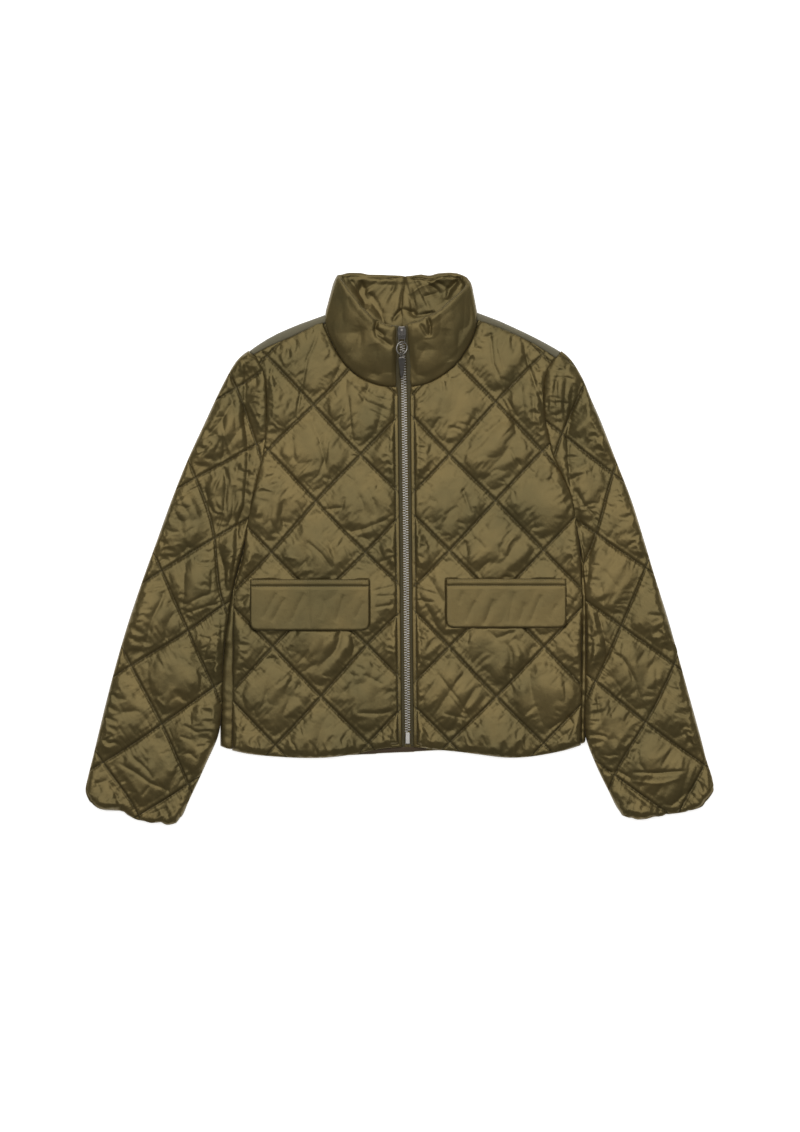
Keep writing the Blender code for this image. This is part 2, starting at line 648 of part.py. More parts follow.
def slit_outline(armhole, under, cuff, outer):
    """The inside of the tube: inset along its folds, run out through both ends."""
    inward = -1 if signed_area(smooth(armhole + under + cuff + outer)) < 0 else 1
    lines = []
    for knots, (amount, trim) in zip((armhole, under, cuff, outer), SLIT):
        points = offset_line(smooth(knots), amount * inward)
        lines += points[trim:-trim]
    return lines


# ---------------------------------------------------------------- collar, flaps, facing

def collar_half(name, stations, side, cloth):
    """A padded band from the zip round the side fold to the centre back."""
    base = [Vector(row[:3]) for row in stations]
    rim = [Vector(row[3:6]) for row in stations]
    rows = smooth([(*b, *r, row[6]) for b, r, row in zip(base, rim, stations)], COLLAR_STEP)
    seams = [Vector(row[:3]) for row in rows]
    edges = [Vector(row[3:6]) for row in rows]
    sections = []
    last = len(rows) - 1
    for n, row in enumerate(rows):
        up = edges[n] - seams[n]
        ends = (n == 0, n == last)
        low, high = max(0, n - 1), min(last, n + 1)
        run = (seams[high] + edges[high]) - (seams[low] + edges[low])
        if any(ends):
            run = Vector((run.x, 0, 0))
        out = side * run.cross(up).normalized()
        pinch = COLLAR_PINCH[0] if n == 0 else COLLAR_PINCH[1] if n == last else 1.0
        outside, inside = [], []
        for share, thickness in COLLAR_PROFILE:
            middle = seams[n] + up * share
            half = out * row[6] * thickness * pinch
            outside.append(middle + half)
            inside.append(middle - half)
        section = outside + [edges[n]] + inside[::-1]
        sections.append([(p.x, p.y, max(0.0, p.z)) for p in section])
    return loft(name, sections, cloth)


def flap(name, box, cloth):
    """A pocket flap that lies on the pressed quilting, with a stitched top band."""
    x0, x1, y0, y1 = box
    cut = 0.3 * FLAP_CORNER
    corner = [(x0, y0 + FLAP_CORNER), (x0 + cut, y0 + cut), (x0 + FLAP_CORNER, y0)]
    far_corner = [(x1 - FLAP_CORNER, y0), (x1 - cut, y0 + cut), (x1, y0 + FLAP_CORNER)]
    low = FLAP_REST + FLAP_LIFT
    rim = low + 0.5 * FLAP_THICKNESS
    outline = [corner, [corner[-1], far_corner[0]], far_corner, [far_corner[-1], (x1, y1)],
               [(x1, y1), (x0, y1)], [(x0, y1), corner[0]]]
    sides = [Side(knots, rim, width=FLAP_ROUNDING) for knots in outline]
    panel = Panel(sides, low, stitch=low + FLAP_THICKNESS, puff=0.0,
                  groove=(y1 - FLAP_BAND, FLAP_GROOVE))
    return panel.build(name, cloth)


def hem_facing(cloth):
    """The strip of the back's inside that shows below the fronts at the zip."""
    start, end = FACING_ENDS
    above = [p for p in smooth(RIGHT_HEM) + smooth(LEFT_HEM)[::-1] if start < p.x < end]
    below = [p for p in smooth(BACK_HEM)[::-1] if start < p.x < end]
    loop = [p - Vector((0, FACING_GAP)) for p in above]
    loop += [p + Vector((0, FACING_OVERLAP)) for p in below]
    return slab("hem_facing", loop, FRONT_INSIDE, FRONT_INSIDE + FACING_THICKNESS, cloth)


# ---------------------------------------------------------------- zip

def zip_point(y):
    """The middle of the tape at a distance along the zip."""
    path = [Vector(row) for row in ZIP_PATH]
    for first, second in zip(path, path[1:]):
        if y <= second.x or second is path[-1]:
            share = (y - first.x) / (second.x - first.x)
            row = first.lerp(second, share)
            return Vector((row.y, y, row.z))


def zip_rows(low, high):
    inner = [row[0] for row in ZIP_PATH if low < row[0] < high]
    return [low] + inner + [high]


def opening_edge(side, y):
    """The x of the cloth edge beside the zip."""
    column = 2 if side > 0 else 1
    low, neck, rim = OPENING
    first, second = (low, neck) if y < neck[0] else (neck, rim)
    share = (y - first[0]) / (second[0] - first[0])
    return first[column] + (second[column] - first[column]) * share


def zip_tape(name, side, cloth):
    sections = []
    for y in zip_rows(TAPE_BOTTOM, TAPE_TOP):
        middle = zip_point(y)
        inner = middle.x + side * (CHAIN_WIDTH / 2 + GAP)
        outer = opening_edge(side, y) - side * TAPE_PLAY
        half = TAPE_THICKNESS / 2
        sections.append([(inner, y, middle.z - half), (outer, y, middle.z - half),
                         (outer, y, middle.z + half), (inner, y, middle.z + half)])
    return loft(name, sections, cloth)


def zip_teeth(metal):
    sections = []
    half, slope = CHAIN_WIDTH / 2, CHAIN_BEVEL
    for y in zip_rows(CHAIN_BOTTOM, CHAIN_TOP):
        x, _, z = zip_point(y)
        low, high = z - TAPE_THICKNESS / 2, z - TAPE_THICKNESS / 2 + CHAIN_THICKNESS
        sections.append([(x - half, y, low), (x + half, y, low), (x + half, y, high - slope),
                         (x + half - slope, y, high), (x - half + slope, y, high),
                         (x - half, y, high - slope)])
    return loft("zip_teeth", sections, metal)


def zip_bottom_box(metal):
    y = CHAIN_BOTTOM - GAP
    x, _, z = zip_point(y - BOX_LENGTH / 2)
    low = z - TAPE_THICKNESS / 2
    half = BOX_WIDTH / 2
    side, high = BOX_HEIGHTS
    profile = [(-half, 0), (half, 0), (half, side), (half - BOX_BEVEL, high),
               (-half + BOX_BEVEL, high), (-half, side)]
    rows = ((0, 0.9), (BOX_BEVEL, 1), (BOX_LENGTH - BOX_BEVEL, 1), (BOX_LENGTH, 0.9))
    sections = [[(x + px * scale, y - place, low + pz * scale) for px, pz in profile]
                for place, scale in rows]
    return loft("zip_bottom_box", sections, metal)


def pull_frame():
    """The frame of the slider: X across, Y up the zip, Z out of the collar."""
    here, above = zip_point(SLIDER_Y), zip_point(SLIDER_Y + 5)
    angle = atan2(above.z - here.z, above.y - here.y)
    return here, Matrix.Rotation(angle, 4, "X")


def pull_matrix(origin, turn, offset=(0, 0, 0)):
    """A matrix in metres for a piece of the pull, its origin on its own pivot."""
    point = origin + turn @ Vector(offset)
    return Matrix.Translation(point * MM) @ turn


def slider_plate(low, high, metal, matrix):
    """One plate of the slider, its face bevelled on both sides."""
    rows = ((low, 0.93), (low + SLIDER_BEVEL, 1), (high - SLIDER_BEVEL, 1), (high, 0.93))
    sections = [[(x * scale, y * scale, z) for x, y in SLIDER_PLAN] for z, scale in rows]
    return loft("zip_slider", sections, metal, matrix)


def zip_slider(metal):
    """Two plates on a core, with a bridge over the upper one."""
    matrix = pull_matrix(*pull_frame())
    slot, high = SLIDER_SLOT / 2, SLIDER_HEIGHT / 2
    body = slider_plate(slot, high, metal, matrix)
    lower = slider_plate(-high, -slot, metal, matrix)
    neck = [(-SLIDER_NECK, 2.0), (SLIDER_NECK, 2.0), (SLIDER_NECK, 6.0), (-SLIDER_NECK, 6.0)]
    core = loft("core", [[(x, y, z) for x, y in neck] for z in (-slot - 0.5, slot + 0.5)], metal,
                matrix)
    bridge = loft("bridge", [[(x, y, z) for y, z in BRIDGE_PROFILE]
                             for x in (-BRIDGE_HALF, BRIDGE_HALF)], metal, matrix)
    return combine(body, [lower, core, bridge], "UNION", "MANIFOLD")


def wire_loop(name, path, radius, metal, matrix, sides=8):
    """A closed wire through a planar path."""
    bm = bmesh.new()
    normal = Vector((0, 0, 1))
    rings = []
    for n, point in enumerate(path):
        tangent = (path[(n + 1) % len(path)] - path[n - 1]).normalized()
        outward = tangent.cross(normal)
        rings.append([bm.verts.new(point + (outward * cos(a) + normal * sin(a)) * radius)
                      for a in (2 * pi * k / sides for k in range(sides))])
    for n, ring in enumerate(rings):
        before = rings[n - 1]
        for k in range(sides):
            bm.faces.new((before[k - 1], before[k], ring[k], ring[k - 1]))
    return make_object(name, bm, metal, matrix)


def link_path():
    """A rounded rectangle below its upper bar."""
    corner, half = LINK_CORNER, LINK_HALF_WIDTH
    points = []
    for x, y, start in ((half - corner, -corner, 0), (corner - half, -corner, 90),
                        (corner - half, corner - LINK_LENGTH, 180),
                        (half - corner, corner - LINK_LENGTH, 270)):
        for step in range(4):
            a = radians(start + 30 * step)
            points.append(Vector((x + corner * cos(a), y + corner * sin(a), 0)))
    return points


def zip_pull(metal):
    """The link in the bridge, the ring in the link and the tab on the ring."""
    origin, turn = pull_frame()
    bar = Vector((0, BAR_Y, BAR_Z))
    wire_loop("zip_link", link_path(), LINK_WIRE, metal,
              pull_matrix(origin, turn, bar) @ Matrix.Rotation(-LINK_ANGLE, 4, "X"))
    low_bar = bar + Vector((0, -LINK_LENGTH * cos(LINK_ANGLE), LINK_LENGTH * sin(LINK_ANGLE)))
    centre = Vector((0, RING_PLAY - RING_RADIUS, 0))
    circle = [Vector((RING_RADIUS * cos(a), RING_RADIUS * sin(a), 0))
              for a in (2 * pi * k / RING_STEPS for k in range(RING_STEPS))]
    tilt = Matrix.Rotation(RING_TILT, 3, "Y")
    ring = wire_loop("zip_ring", circle, RING_WIRE, metal, pull_matrix(origin, turn, low_bar))
    for vert in ring.data.vertices:
        vert.co = (tilt @ (vert.co / MM) + centre) * MM
    eye = low_bar + centre + Vector((0, -RING_RADIUS, 0))
    matrix = pull_matrix(origin, turn, eye) @ Matrix.Rotation(-TAB_ANGLE, 4, "X")
    zip_tab(metal, matrix)


def zip_tab(metal, matrix):
    """A tapered plate with an eye round the ring."""
    circle = [Vector((EYE_RADIUS * cos(a), EYE_RADIUS * sin(a), 0))
              for a in (2 * pi * k / 16 for k in range(16))]
    eye = wire_loop("eye", circle, EYE_WIRE, metal, matrix @ Matrix.Rotation(pi / 2, 4, "Y"))
    wide, narrow = (width / 2 for width in TAB_WIDTHS)
    top, end = -EYE_RADIUS - 0.3, -TAB_LENGTH
    slope, full = TAB_SHOULDER
    point, foot = TAB_POINT
    outline = [(-point, top), (-wide + 1, top - slope), (-wide, top - full), (-narrow, end + foot),
               (-narrow + point, end), (narrow - point, end), (narrow, end + foot),
               (wide, top - full), (wide - 1, top - slope), (point, top)]
    middle = Vector((0, (top + end) / 2))
    half = TAB_THICKNESS / 2
    bevel, face = TAB_BEVEL
    rows = ((-half, face), (-half + bevel, 1), (half - bevel, 1), (half, face))
    sections = [[(*middle.lerp(Vector(p), scale), z) for p in outline] for z, scale in rows]
    tab = loft("zip_tab", sections, metal, matrix)
    return combine(tab, [eye], "UNION")


# ---------------------------------------------------------------- whole

def main():
    for item in list(bpy.data.objects):
        bpy.data.objects.remove(item)
    nylon = make_material("olive_nylon", (0.16, 0.125, 0.055), 0.4)
    canvas = make_material("strip_canvas", (0.17, 0.15, 0.09), 0.85)
    facing = make_material("facing", (0.12, 0.09, 0.05), 0.7)
    tape = make_material("zip_tape", (0.14, 0.12, 0.06), 0.85)
    metal = make_material("dark_metal", (0.3, 0.29, 0.27), 0.3, 1.0)
    front("front_right", (RIGHT_HEM, RIGHT_ZIP_EDGE, RIGHT_NECK, RIGHT_SHOULDER, RIGHT_ARMHOLE,
                          RIGHT_SIDE), RIGHT_LATTICE, RIGHT_FLAP, nylon)
    front("front_left", (LEFT_HEM, LEFT_ZIP_EDGE, LEFT_NECK, LEFT_SHOULDER, LEFT_ARMHOLE,
                         LEFT_SIDE), LEFT_LATTICE, LEFT_FLAP, nylon)
    back(nylon)
    shoulder_strips(canvas)
    sleeve("sleeve_right", RIGHT_ARMHOLE, RIGHT_UNDERARM, RIGHT_CUFF, RIGHT_OUTER,
           RIGHT_SLEEVE_LATTICE, nylon)
    sleeve("sleeve_left", LEFT_ARMHOLE, LEFT_UNDERARM, LEFT_CUFF, LEFT_OUTER,
           LEFT_SLEEVE_LATTICE, nylon)
    collar_half("collar_right", RIGHT_COLLAR, -1, nylon)
    collar_half("collar_left", LEFT_COLLAR, 1, nylon)
    flap("pocket_flap_right", RIGHT_FLAP, nylon)
    flap("pocket_flap_left", LEFT_FLAP, nylon)
    hem_facing(facing)
    zip_tape("zip_tape_right", -1, tape)
    zip_tape("zip_tape_left", 1, tape)
    zip_teeth(metal)
    zip_bottom_box(metal)
    zip_slider(metal)
    zip_pull(metal)


main()
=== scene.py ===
"""A quilted jacket in satin nylon, laid flat on its back: the cloth, the trim and the stage.

Tables are in millimetres and meshes in metres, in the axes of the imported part: +X to the
wearer's left, +Y to the collar and +Z up from the surface that the jacket lies on.
"""

import json
from math import ceil, pi, radians

import bmesh
import bpy
import numpy as np
from bpy.props import FloatProperty, FloatVectorProperty, IntProperty, PointerProperty
from mathutils import Matrix, Vector
from mathutils.bvhtree import BVHTree
from mathutils.geometry import delaunay_2d_cdt

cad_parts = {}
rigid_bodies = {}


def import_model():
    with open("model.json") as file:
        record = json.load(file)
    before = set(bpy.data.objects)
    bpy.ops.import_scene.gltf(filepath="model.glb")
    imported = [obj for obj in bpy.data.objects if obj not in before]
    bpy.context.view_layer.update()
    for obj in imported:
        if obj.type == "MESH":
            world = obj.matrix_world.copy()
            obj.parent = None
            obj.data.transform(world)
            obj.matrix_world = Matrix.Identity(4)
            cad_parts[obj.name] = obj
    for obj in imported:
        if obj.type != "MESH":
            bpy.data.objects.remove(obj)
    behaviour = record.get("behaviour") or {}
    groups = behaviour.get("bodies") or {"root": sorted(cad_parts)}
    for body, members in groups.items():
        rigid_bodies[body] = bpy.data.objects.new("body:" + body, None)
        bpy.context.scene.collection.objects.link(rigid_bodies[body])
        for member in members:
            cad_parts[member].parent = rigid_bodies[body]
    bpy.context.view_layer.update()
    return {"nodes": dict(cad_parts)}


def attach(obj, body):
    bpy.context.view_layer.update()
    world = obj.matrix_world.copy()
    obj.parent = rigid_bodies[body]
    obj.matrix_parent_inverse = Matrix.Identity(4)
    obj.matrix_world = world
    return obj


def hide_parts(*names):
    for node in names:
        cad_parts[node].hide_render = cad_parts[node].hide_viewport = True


bl_info = {
    "name": "Quilted Jacket",
    "version": (1, 0, 0),
    "blender": (4, 5, 0),
    "location": "View3D > Sidebar > Jacket",
    "description": "Builds a quilted nylon jacket, laid flat, round its packed part",
    "category": "Object",
}

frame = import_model()
NODES = frame["nodes"]
MM = 0.001
UP = Vector((0, 0, 1))

# Heights of the flat body: inside the fronts, at a stitch line, and of a pocket flap
FRONT_INSIDE = 9.8
STITCH_TOP = 12.8
FLAP_REST = 17.3
FLAP_FOOT = 17.8
FLAP_THICK = 3.4

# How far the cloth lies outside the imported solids
OUTSIDE = 0.9

# Widths: the roll of a panel's edge, the flat band along the zip and the flaps' sewn top
EDGE_ROLL = 11.0
ZIP_BAND = 4.8
FLAP_BAND = 9.5

# Quilting of each panel: node, a crossing of two stitch lines, a step along each family,
# and the places of the crossings that drifted as the cloth was laid out
QUILTS = {
    "front_right": ((-106.6, 61.12), (59.5, 63.0), (62.5, -63.0), [
        (-111.8, 185.8), (-171.3, 127.5), (-50.8, 121.2), (-108.8, 61.1), (-166.6, -5.7),
        (-44.4, -5.7), (-105.9, -65.8), (-164.9, -128.3), (-42.3, -125.3), (-102.4, -193.0),
        (-161.5, -256.5), (-40.9, -253.6)]),
    "front_left": ((125.5, 61.52), (61.0, 63.0), (61.0, -63.0), [
        (124.9, 190.1), (64.8, 121.2), (124.9, 61.9), (64.8, -3.4), (187.4, -2.7),
        (64.8, -128.2), (188.2, -128.2), (126.0, -193.2), (65.7, -251.7), (187.4, -253.9)]),
    "sleeve_right": ((-274.1, -106.98), (34.5, -76.0), (75.4, 46.0), [
        (-211.5, 208.0), (-265.3, 91.3), (-240.6, 12.9), (-309.5, -29.5),
        (-230.3, -74.9), (-274.1, -107.2), (-349.5, -152.7), (-241.8, -180.7),
        (-308.8, -228.9), (-385.9, -279.0), (-274.9, -307.1), (-338.6, -346.6)]),
    "sleeve_left": ((288.4, -101.48), (-33.2, -74.8), (70.2, -50.7), [
        (277.3, 96.7), (256.3, 18.3), (319.9, -25.4), (288.4, -101.5), (357.4, -151.2),
        (255.1, -173.2), (319.9, -226.5), (397.2, -281.8), (279.2, -294.7)]),
}
DIAMOND = 87.7

# Each pocket flap: left, right, bottom and top
FLAPS = {"pocket_flap_right": (-194.1, -38.9, -106.98, -39.98),
         "pocket_flap_left": (60.4, 216.9, -103.48, -39.08)}


# ---------------------------------------------------------------- settings

def length(name, description, default):
    return FloatProperty(name=name, description=description, default=default, unit="LENGTH")


def tint(name, description, default):
    return FloatVectorProperty(name=name, description=description, default=default,
                               subtype="COLOR")


class JacketCloth(bpy.types.PropertyGroup):
    """How the quilted cloth is made."""
    puff: length("Puff", "Height of a quilted pillow before it is blown up", 0.0062)
    fullness: FloatProperty(name="Fullness", description="Extra cloth between two stitch lines",
                            default=0.05, subtype="FACTOR")
    pressure: FloatProperty(name="Pressure", description="Push of the wadding on the cloth",
                            default=160.0)
    step: length("Mesh size", "Edge length of the simulated cloth", 0.0027)
    frames: IntProperty(name="Frames", description="Steps of the simulation", default=18)
    groove: length("Groove", "Depth that a stitch line is drawn in", 0.0006)


class JacketColours(bpy.types.PropertyGroup):
    """Base colours of the finishes."""
    nylon: tint("Nylon", "Satin shell", (0.165, 0.122, 0.046))
    # The darker shell colour, at 0.4 of its value, also colours the painted shade along the stitch
    # lines.
    nylon_dark: tint("Nylon shade", "Shell where it turns green", (0.118, 0.093, 0.036))
    canvas: tint("Canvas", "Matte shoulder strips", (0.165, 0.148, 0.092))
    facing: tint("Facing", "Inside facing of the hem", (0.07, 0.045, 0.022))
    tape: tint("Tape", "Woven zip tape", (0.085, 0.07, 0.032))
    thread: tint("Thread", "Quilting thread", (0.06, 0.048, 0.02))
    gunmetal: tint("Gunmetal", "Slider, link and tab", (0.22, 0.205, 0.185))
    nickel: tint("Nickel", "Zip teeth, bottom box and ring", (0.48, 0.46, 0.42))


# ---------------------------------------------------------------- finishes

class Number:
    """A shader value that can be written in an expression."""

    def __init__(self, finish, socket):
        self.finish = finish
        self.socket = socket

    def __add__(self, other):
        return self.finish.math("ADD", self, other)

    def __radd__(self, other):
        return self.finish.math("ADD", other, self)

    def __sub__(self, other):
        return self.finish.math("SUBTRACT", self, other)

    def __mul__(self, other):
        return self.finish.math("MULTIPLY", self, other)


class Finish:
    """A material whose pattern is worked out from the place on the object."""

    def __init__(self, name, **constants):
        self.item = bpy.data.materials.new(name)
        self.item.use_nodes = True
        self.tree = self.item.node_tree
        self.shader = self.tree.nodes["Principled BSDF"]
        for socket, value in constants.items():
            self.shader.inputs[socket.replace("_", " ")].default_value = value
        self.place = self.add("TexCoord", output="Object")

    def fill(self, socket, value):
        """A socket gets a link from another node, or a value."""
        if isinstance(value, Number):
            self.tree.links.new(value.socket, socket)
        else:
            socket.default_value = value

    def add(self, kind, settings=None, inputs=None, output=0):
        node = self.tree.nodes.new("ShaderNode" + kind)
        for key, value in (settings or {}).items():
            setattr(node, key, value)
        for key, value in (inputs or {}).items():
            self.fill(node.inputs[key], value)
        return Number(self, node.outputs[output])

    def math(self, operation, *values):
        return self.add("Math", {"operation": operation}, dict(enumerate(values)))

    def noise(self, scale, detail=2.0, vector=None):
        return self.add("TexNoise", {"noise_dimensions": "3D"},
                        {"Vector": vector or self.place, "Scale": scale, "Detail": detail})

    def weave(self, scale, *directions, distortion=0.0):
        """Threads in two directions."""
        first, second = (self.add("TexWave", {"wave_type": "BANDS", "bands_direction": way},
                                  {"Vector": self.place, "Scale": scale,
                                   "Distortion": distortion}, "Fac") for way in directions)
        return first * 0.5 + second * 0.5

    def spread(self, value, low, high, to_low=0.0, to_high=1.0):
        """A value carried from one range to another, and held at the ends."""
        return self.add("MapRange", None, {"Value": value, "From Min": low, "From Max": high,
                                           "To Min": to_low, "To Max": to_high})

    def blend(self, amount, first, second):
        """A mix of two colours."""
        node = self.tree.nodes.new("ShaderNodeMix")
        node.data_type = "RGBA"
        self.fill(node.inputs[0], amount)
        for socket, colour in ((node.inputs[6], first), (node.inputs[7], second)):
            self.fill(socket, colour if isinstance(colour, Number) else (*colour, 1.0))
        return Number(self, node.outputs[2])

    def folds(self, value):
        """Sharp valleys where a noise passes through its middle."""
        return self.math("ABSOLUTE", (value - 0.5) * 2.0)

    def relief(self, height, depth, strength, under=None):
        inputs = {"Height": height, "Distance": depth, "Strength": strength}
        if under:
            inputs["Normal"] = under
        return self.add("Bump", None, inputs)

    def feed(self, **links):
        for socket, value in links.items():
            self.fill(self.shader.inputs[socket.replace("_", " ")], value)
        return self.item


def shade(colour, share):
    return tuple(channel * share for channel in colour)


def satin_nylon(name, colours, gathers_and_groove_shade=False):
    """Thin satin cloth: golden where it is lit, greener where the wadding is slack. On quilted
    cloth, pleats rise beside each stitch line, and a line of painted shade darkens the cloth along
    it.
    """
    finish = Finish(name, Specular_IOR_Level=0.25, Sheen_Weight=0.05, Sheen_Roughness=0.4)
    local = finish.noise(30.0, 3.0)
    patch = finish.spread(finish.noise(6.0) * 0.55 + local * 0.45, 0.38, 0.62)
    tone = finish.blend(patch, colours.nylon_dark, colours.nylon)
    fleck = finish.spread(finish.noise(900.0, 1.0), 0.0, 1.0, 0.0, 0.15)
    colour = finish.blend(fleck, tone, shade(colours.nylon, 0.55))
    relief = finish.relief(finish.weave(640.0, "DIAGONAL", "X"), 0.00003, 0.3)
    relief = finish.relief(finish.folds(finish.noise(85.0)), 0.0009, 0.2, relief)
    if gathers_and_groove_shade:
        stitches = finish.add("UVMap", {"uv_map": "stitches"})
        stretched = finish.add("VectorMath", {"operation": "MULTIPLY"},
                               {0: stitches, 1: (1.0, 0.22, 1.0)})
        off = finish.add("SeparateXYZ", None, {0: stitches}, 1)
        fade = finish.math("EXPONENT", off * -120.0)
        pleats = finish.folds(finish.noise(135.0, 1.0, stretched))
        relief = finish.relief(pleats * fade, 0.0020, 0.45, relief)
        # Painted shade along each stitch line: the cloth darkens towards the line as the groove
        # would in shade, and the dark line also reads as the thread.
        line = finish.spread(off, 0.0004, 0.0011, 0.6, 0.0)
        colour = finish.blend(line, colour, shade(colours.nylon_dark, 0.4))
    rough = (0.30 if gathers_and_groove_shade else 0.35) + finish.noise(45.0) * 0.08
    return finish.feed(Base_Color=colour, Roughness=rough, Metallic=0.60 + local * 0.1,
                       Normal=relief)


def woven(name, colour, scale, roughness):
    """Matte woven cloth with visible threads both ways."""
    finish = Finish(name, Specular_IOR_Level=0.25, Sheen_Weight=0.25, Sheen_Roughness=0.5)
    threads = finish.weave(scale, "X", "Y", distortion=0.4)
    patch = finish.noise(40.0, 3.0)
    tone = finish.blend(finish.spread(threads * 0.6 + patch * 0.4, 0.2, 0.8),
                        shade(colour, 0.72), shade(colour, 1.12))
    return finish.feed(Base_Color=tone, Roughness=roughness + patch * 0.1,
                       Normal=finish.relief(threads, 0.00015, 0.6))


def metal(name, colour, roughness):
    """Plated metal, rubbed a little brighter in places."""
    finish = Finish(name, Specular_IOR_Level=0.5, Metallic=1.0)
    rub = finish.noise(180.0, 3.0)
    tone = finish.blend(rub, shade(colour, 0.7), shade(colour, 1.25))
    return finish.feed(Base_Color=tone, Roughness=roughness + rub * 0.18,
                       Normal=finish.relief(finish.noise(700.0), 0.00006, 0.4))


FINISHES = {}


def finishes():
    """The materials, made once."""
    if not FINISHES:
        colours = bpy.context.scene.jacket_colours
        FINISHES["nylon"] = satin_nylon("satin_nylon", colours)
        FINISHES["quilt"] = satin_nylon("quilted_satin", colours, gathers_and_groove_shade=True)
        FINISHES["canvas"] = woven("strip_canvas", colours.canvas, 620.0, 0.8)
        FINISHES["facing"] = woven("hem_lining", colours.facing, 260.0, 0.6)
        FINISHES["tape"] = woven("zip_tape_weave", colours.tape, 300.0, 0.8)
        FINISHES["thread"] = woven("quilting_thread", colours.thread, 900.0, 0.6)
        FINISHES["gunmetal"] = metal("gunmetal", colours.gunmetal, 0.22)
        FINISHES["nickel"] = metal("nickel", colours.nickel, 0.32)
    return FINISHES


# ---------------------------------------------------------------- numbers on the cloth

def chance(columns, rows, seed):
    """A fixed number from -1 to 1 for each pair of whole numbers."""
    value = (columns.astype(np.int64) * 374761393 + rows.astype(np.int64) * 668265263
             + seed * 1442695041) & 0xFFFFFFFF
    value = ((value ^ (value >> 13)) * 1274126177) & 0xFFFFFFFF
    return (value ^ (value >> 16)) / 0x7FFFFFFF - 1.0


def ripple(x, y, seed):
    """Smooth noise from -1 to 1 over a plane, one hump per unit."""
    column, row = np.floor(x), np.floor(y)
    s, t = x - column, y - row
    s, t = s * s * (3 - 2 * s), t * t * (3 - 2 * t)
    low = chance(column, row, seed) * (1 - s) + chance(column + 1, row, seed) * s
    high = chance(column, row + 1, seed) * (1 - s) + chance(column + 1, row + 1, seed) * s
    return low * (1 - t) + high * t


def folded(x, y, seed, middle=0.4):
    """Noise with sharp valleys, about 0 on average."""
    return np.abs(ripple(x, y, seed)) - middle


def ramp(value, start, size):
    """0 at a start and 1 a size further on; a size below 0 makes it fall."""
    return np.clip((value - start) / size, 0, 1)


def rounding(distance, width):
    """A quarter circle from 0 at an edge to 1 at a width from it."""
    return np.sqrt(1 - (1 - np.clip(distance / width, 0, 1)) ** 2)


def below(height, limit, blend):
    """The smaller of two heights, with a round join."""
    share = np.clip(0.5 + 0.5 * (limit - height) / blend, 0, 1)
    return limit * (1 - share) + height * share - blend * share * (1 - share)


def line_distance(points, line, closed=False):
    """Distance of points from a polyline in the plane, the place along it and its height."""
    start = line if closed else line[:-1]
    end = np.roll(line, -1, axis=0) if closed else line[1:]
    best = np.full(len(points), 1e9)
    place = np.zeros(len(points))
    height = np.zeros(len(points))
    travelled = 0.0
    for a, b in zip(start, end):
        run = b[:2] - a[:2]
        size = np.hypot(*run)
        offset_x, offset_y = points[:, 0] - a[0], points[:, 1] - a[1]
        share = (offset_x * run[0] + offset_y * run[1]) / max(size * size, 1e-18)
        share = np.clip(share, 0, 1)
        off = (offset_x - share * run[0]) ** 2 + (offset_y - share * run[1]) ** 2
        near = off < best
        best[near] = off[near]
        place[near] = travelled + share[near] * size
        if len(a) > 2:
            height[near] = a[2] + share[near] * (b[2] - a[2])
        travelled += size
    return np.sqrt(best), place, height


def edge_distance(points, loop):
    return line_distance(points, loop, closed=True)[0]


def inside(points, loop):
    """Which points lie inside a closed outline."""
    odd = np.zeros(len(points), bool)
    for a, b in zip(loop[:, :2], np.roll(loop[:, :2], -1, axis=0)):
        if a[1] != b[1]:
            spans = (a[1] > points[:, 1]) != (b[1] > points[:, 1])
            crossing = a[0] + (points[:, 1] - a[1]) * (b[0] - a[0]) / (b[1] - a[1])
            odd ^= spans & (points[:, 0] < crossing)
    return odd


def travel(line):
    """The way travelled to each point of a line."""
    return np.concatenate([[0], np.cumsum(np.hypot(*np.diff(line, axis=0).T))])


def walk(line, way):
    """The places at set distances along a line."""
    return np.stack([np.interp(way, travel(line), line[:, axis]) for axis in (0, 1)], 1)


# ---------------------------------------------------------------- outlines

def merged(node):
    """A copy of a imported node's mesh with its loose triangles joined."""
    bm = bmesh.new()
    bm.from_mesh(NODES[node].data)
    bmesh.ops.remove_doubles(bm, verts=bm.verts[:], dist=1e-6)
    bm.normal_update()
    return bm


def surface(node):
    """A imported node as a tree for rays."""
    bm = merged(node)
    tree = BVHTree.FromBMesh(bm)
    bm.free()
    return tree


def top_at(tree, x, y):
    """The highest place of a tree over a point of the plane."""
    return tree.ray_cast(Vector((x, y, 0.1)), -UP)[0]


def spreading(start, neighbours):
    """Everything that can be reached from a start."""
    found, queue = {start}, [start]
    while queue:
        for other in neighbours(queue.pop()):
            if other not in found:
                found.add(other)
                queue.append(other)
    return found


def outline(node):
    """The rim of a node's upper face, anticlockwise, without slivers that turn back."""
    bm = merged(node)
    upward = [face for face in bm.faces if face.normal.z > 0.03]
    top = max(upward, key=lambda face: face.calc_center_median().z)
    found = spreading(top, lambda face: [other for edge in face.edges
                                         for other in edge.link_faces if other.normal.z > 0.03])
    following = {}
    for face in (face for face in upward if face in found):
        for corner in face.loops:
            if not any(o is not face and o in found for o in corner.edge.link_faces):
                following.setdefault(corner.vert, []).append(corner.link_loop_next.vert)
    loops = []
    while following:
        vert = next(iter(following))
        loop = []
        while vert in following:
            loop.append(vert.co[:])
            after = following[vert].pop()
            if not following[vert]:
                del following[vert]
            vert = after
        loops.append(loop)
    bm.free()
    loop = np.array(max(loops, key=len))
    ahead = np.roll(loop, -1, axis=0)[:, :2] - loop[:, :2]
    ahead /= np.linalg.norm(ahead, axis=1)[:, None]
    turns_back = (ahead * np.roll(ahead, 1, axis=0)).sum(1) < -0.95
    return loop[~turns_back]


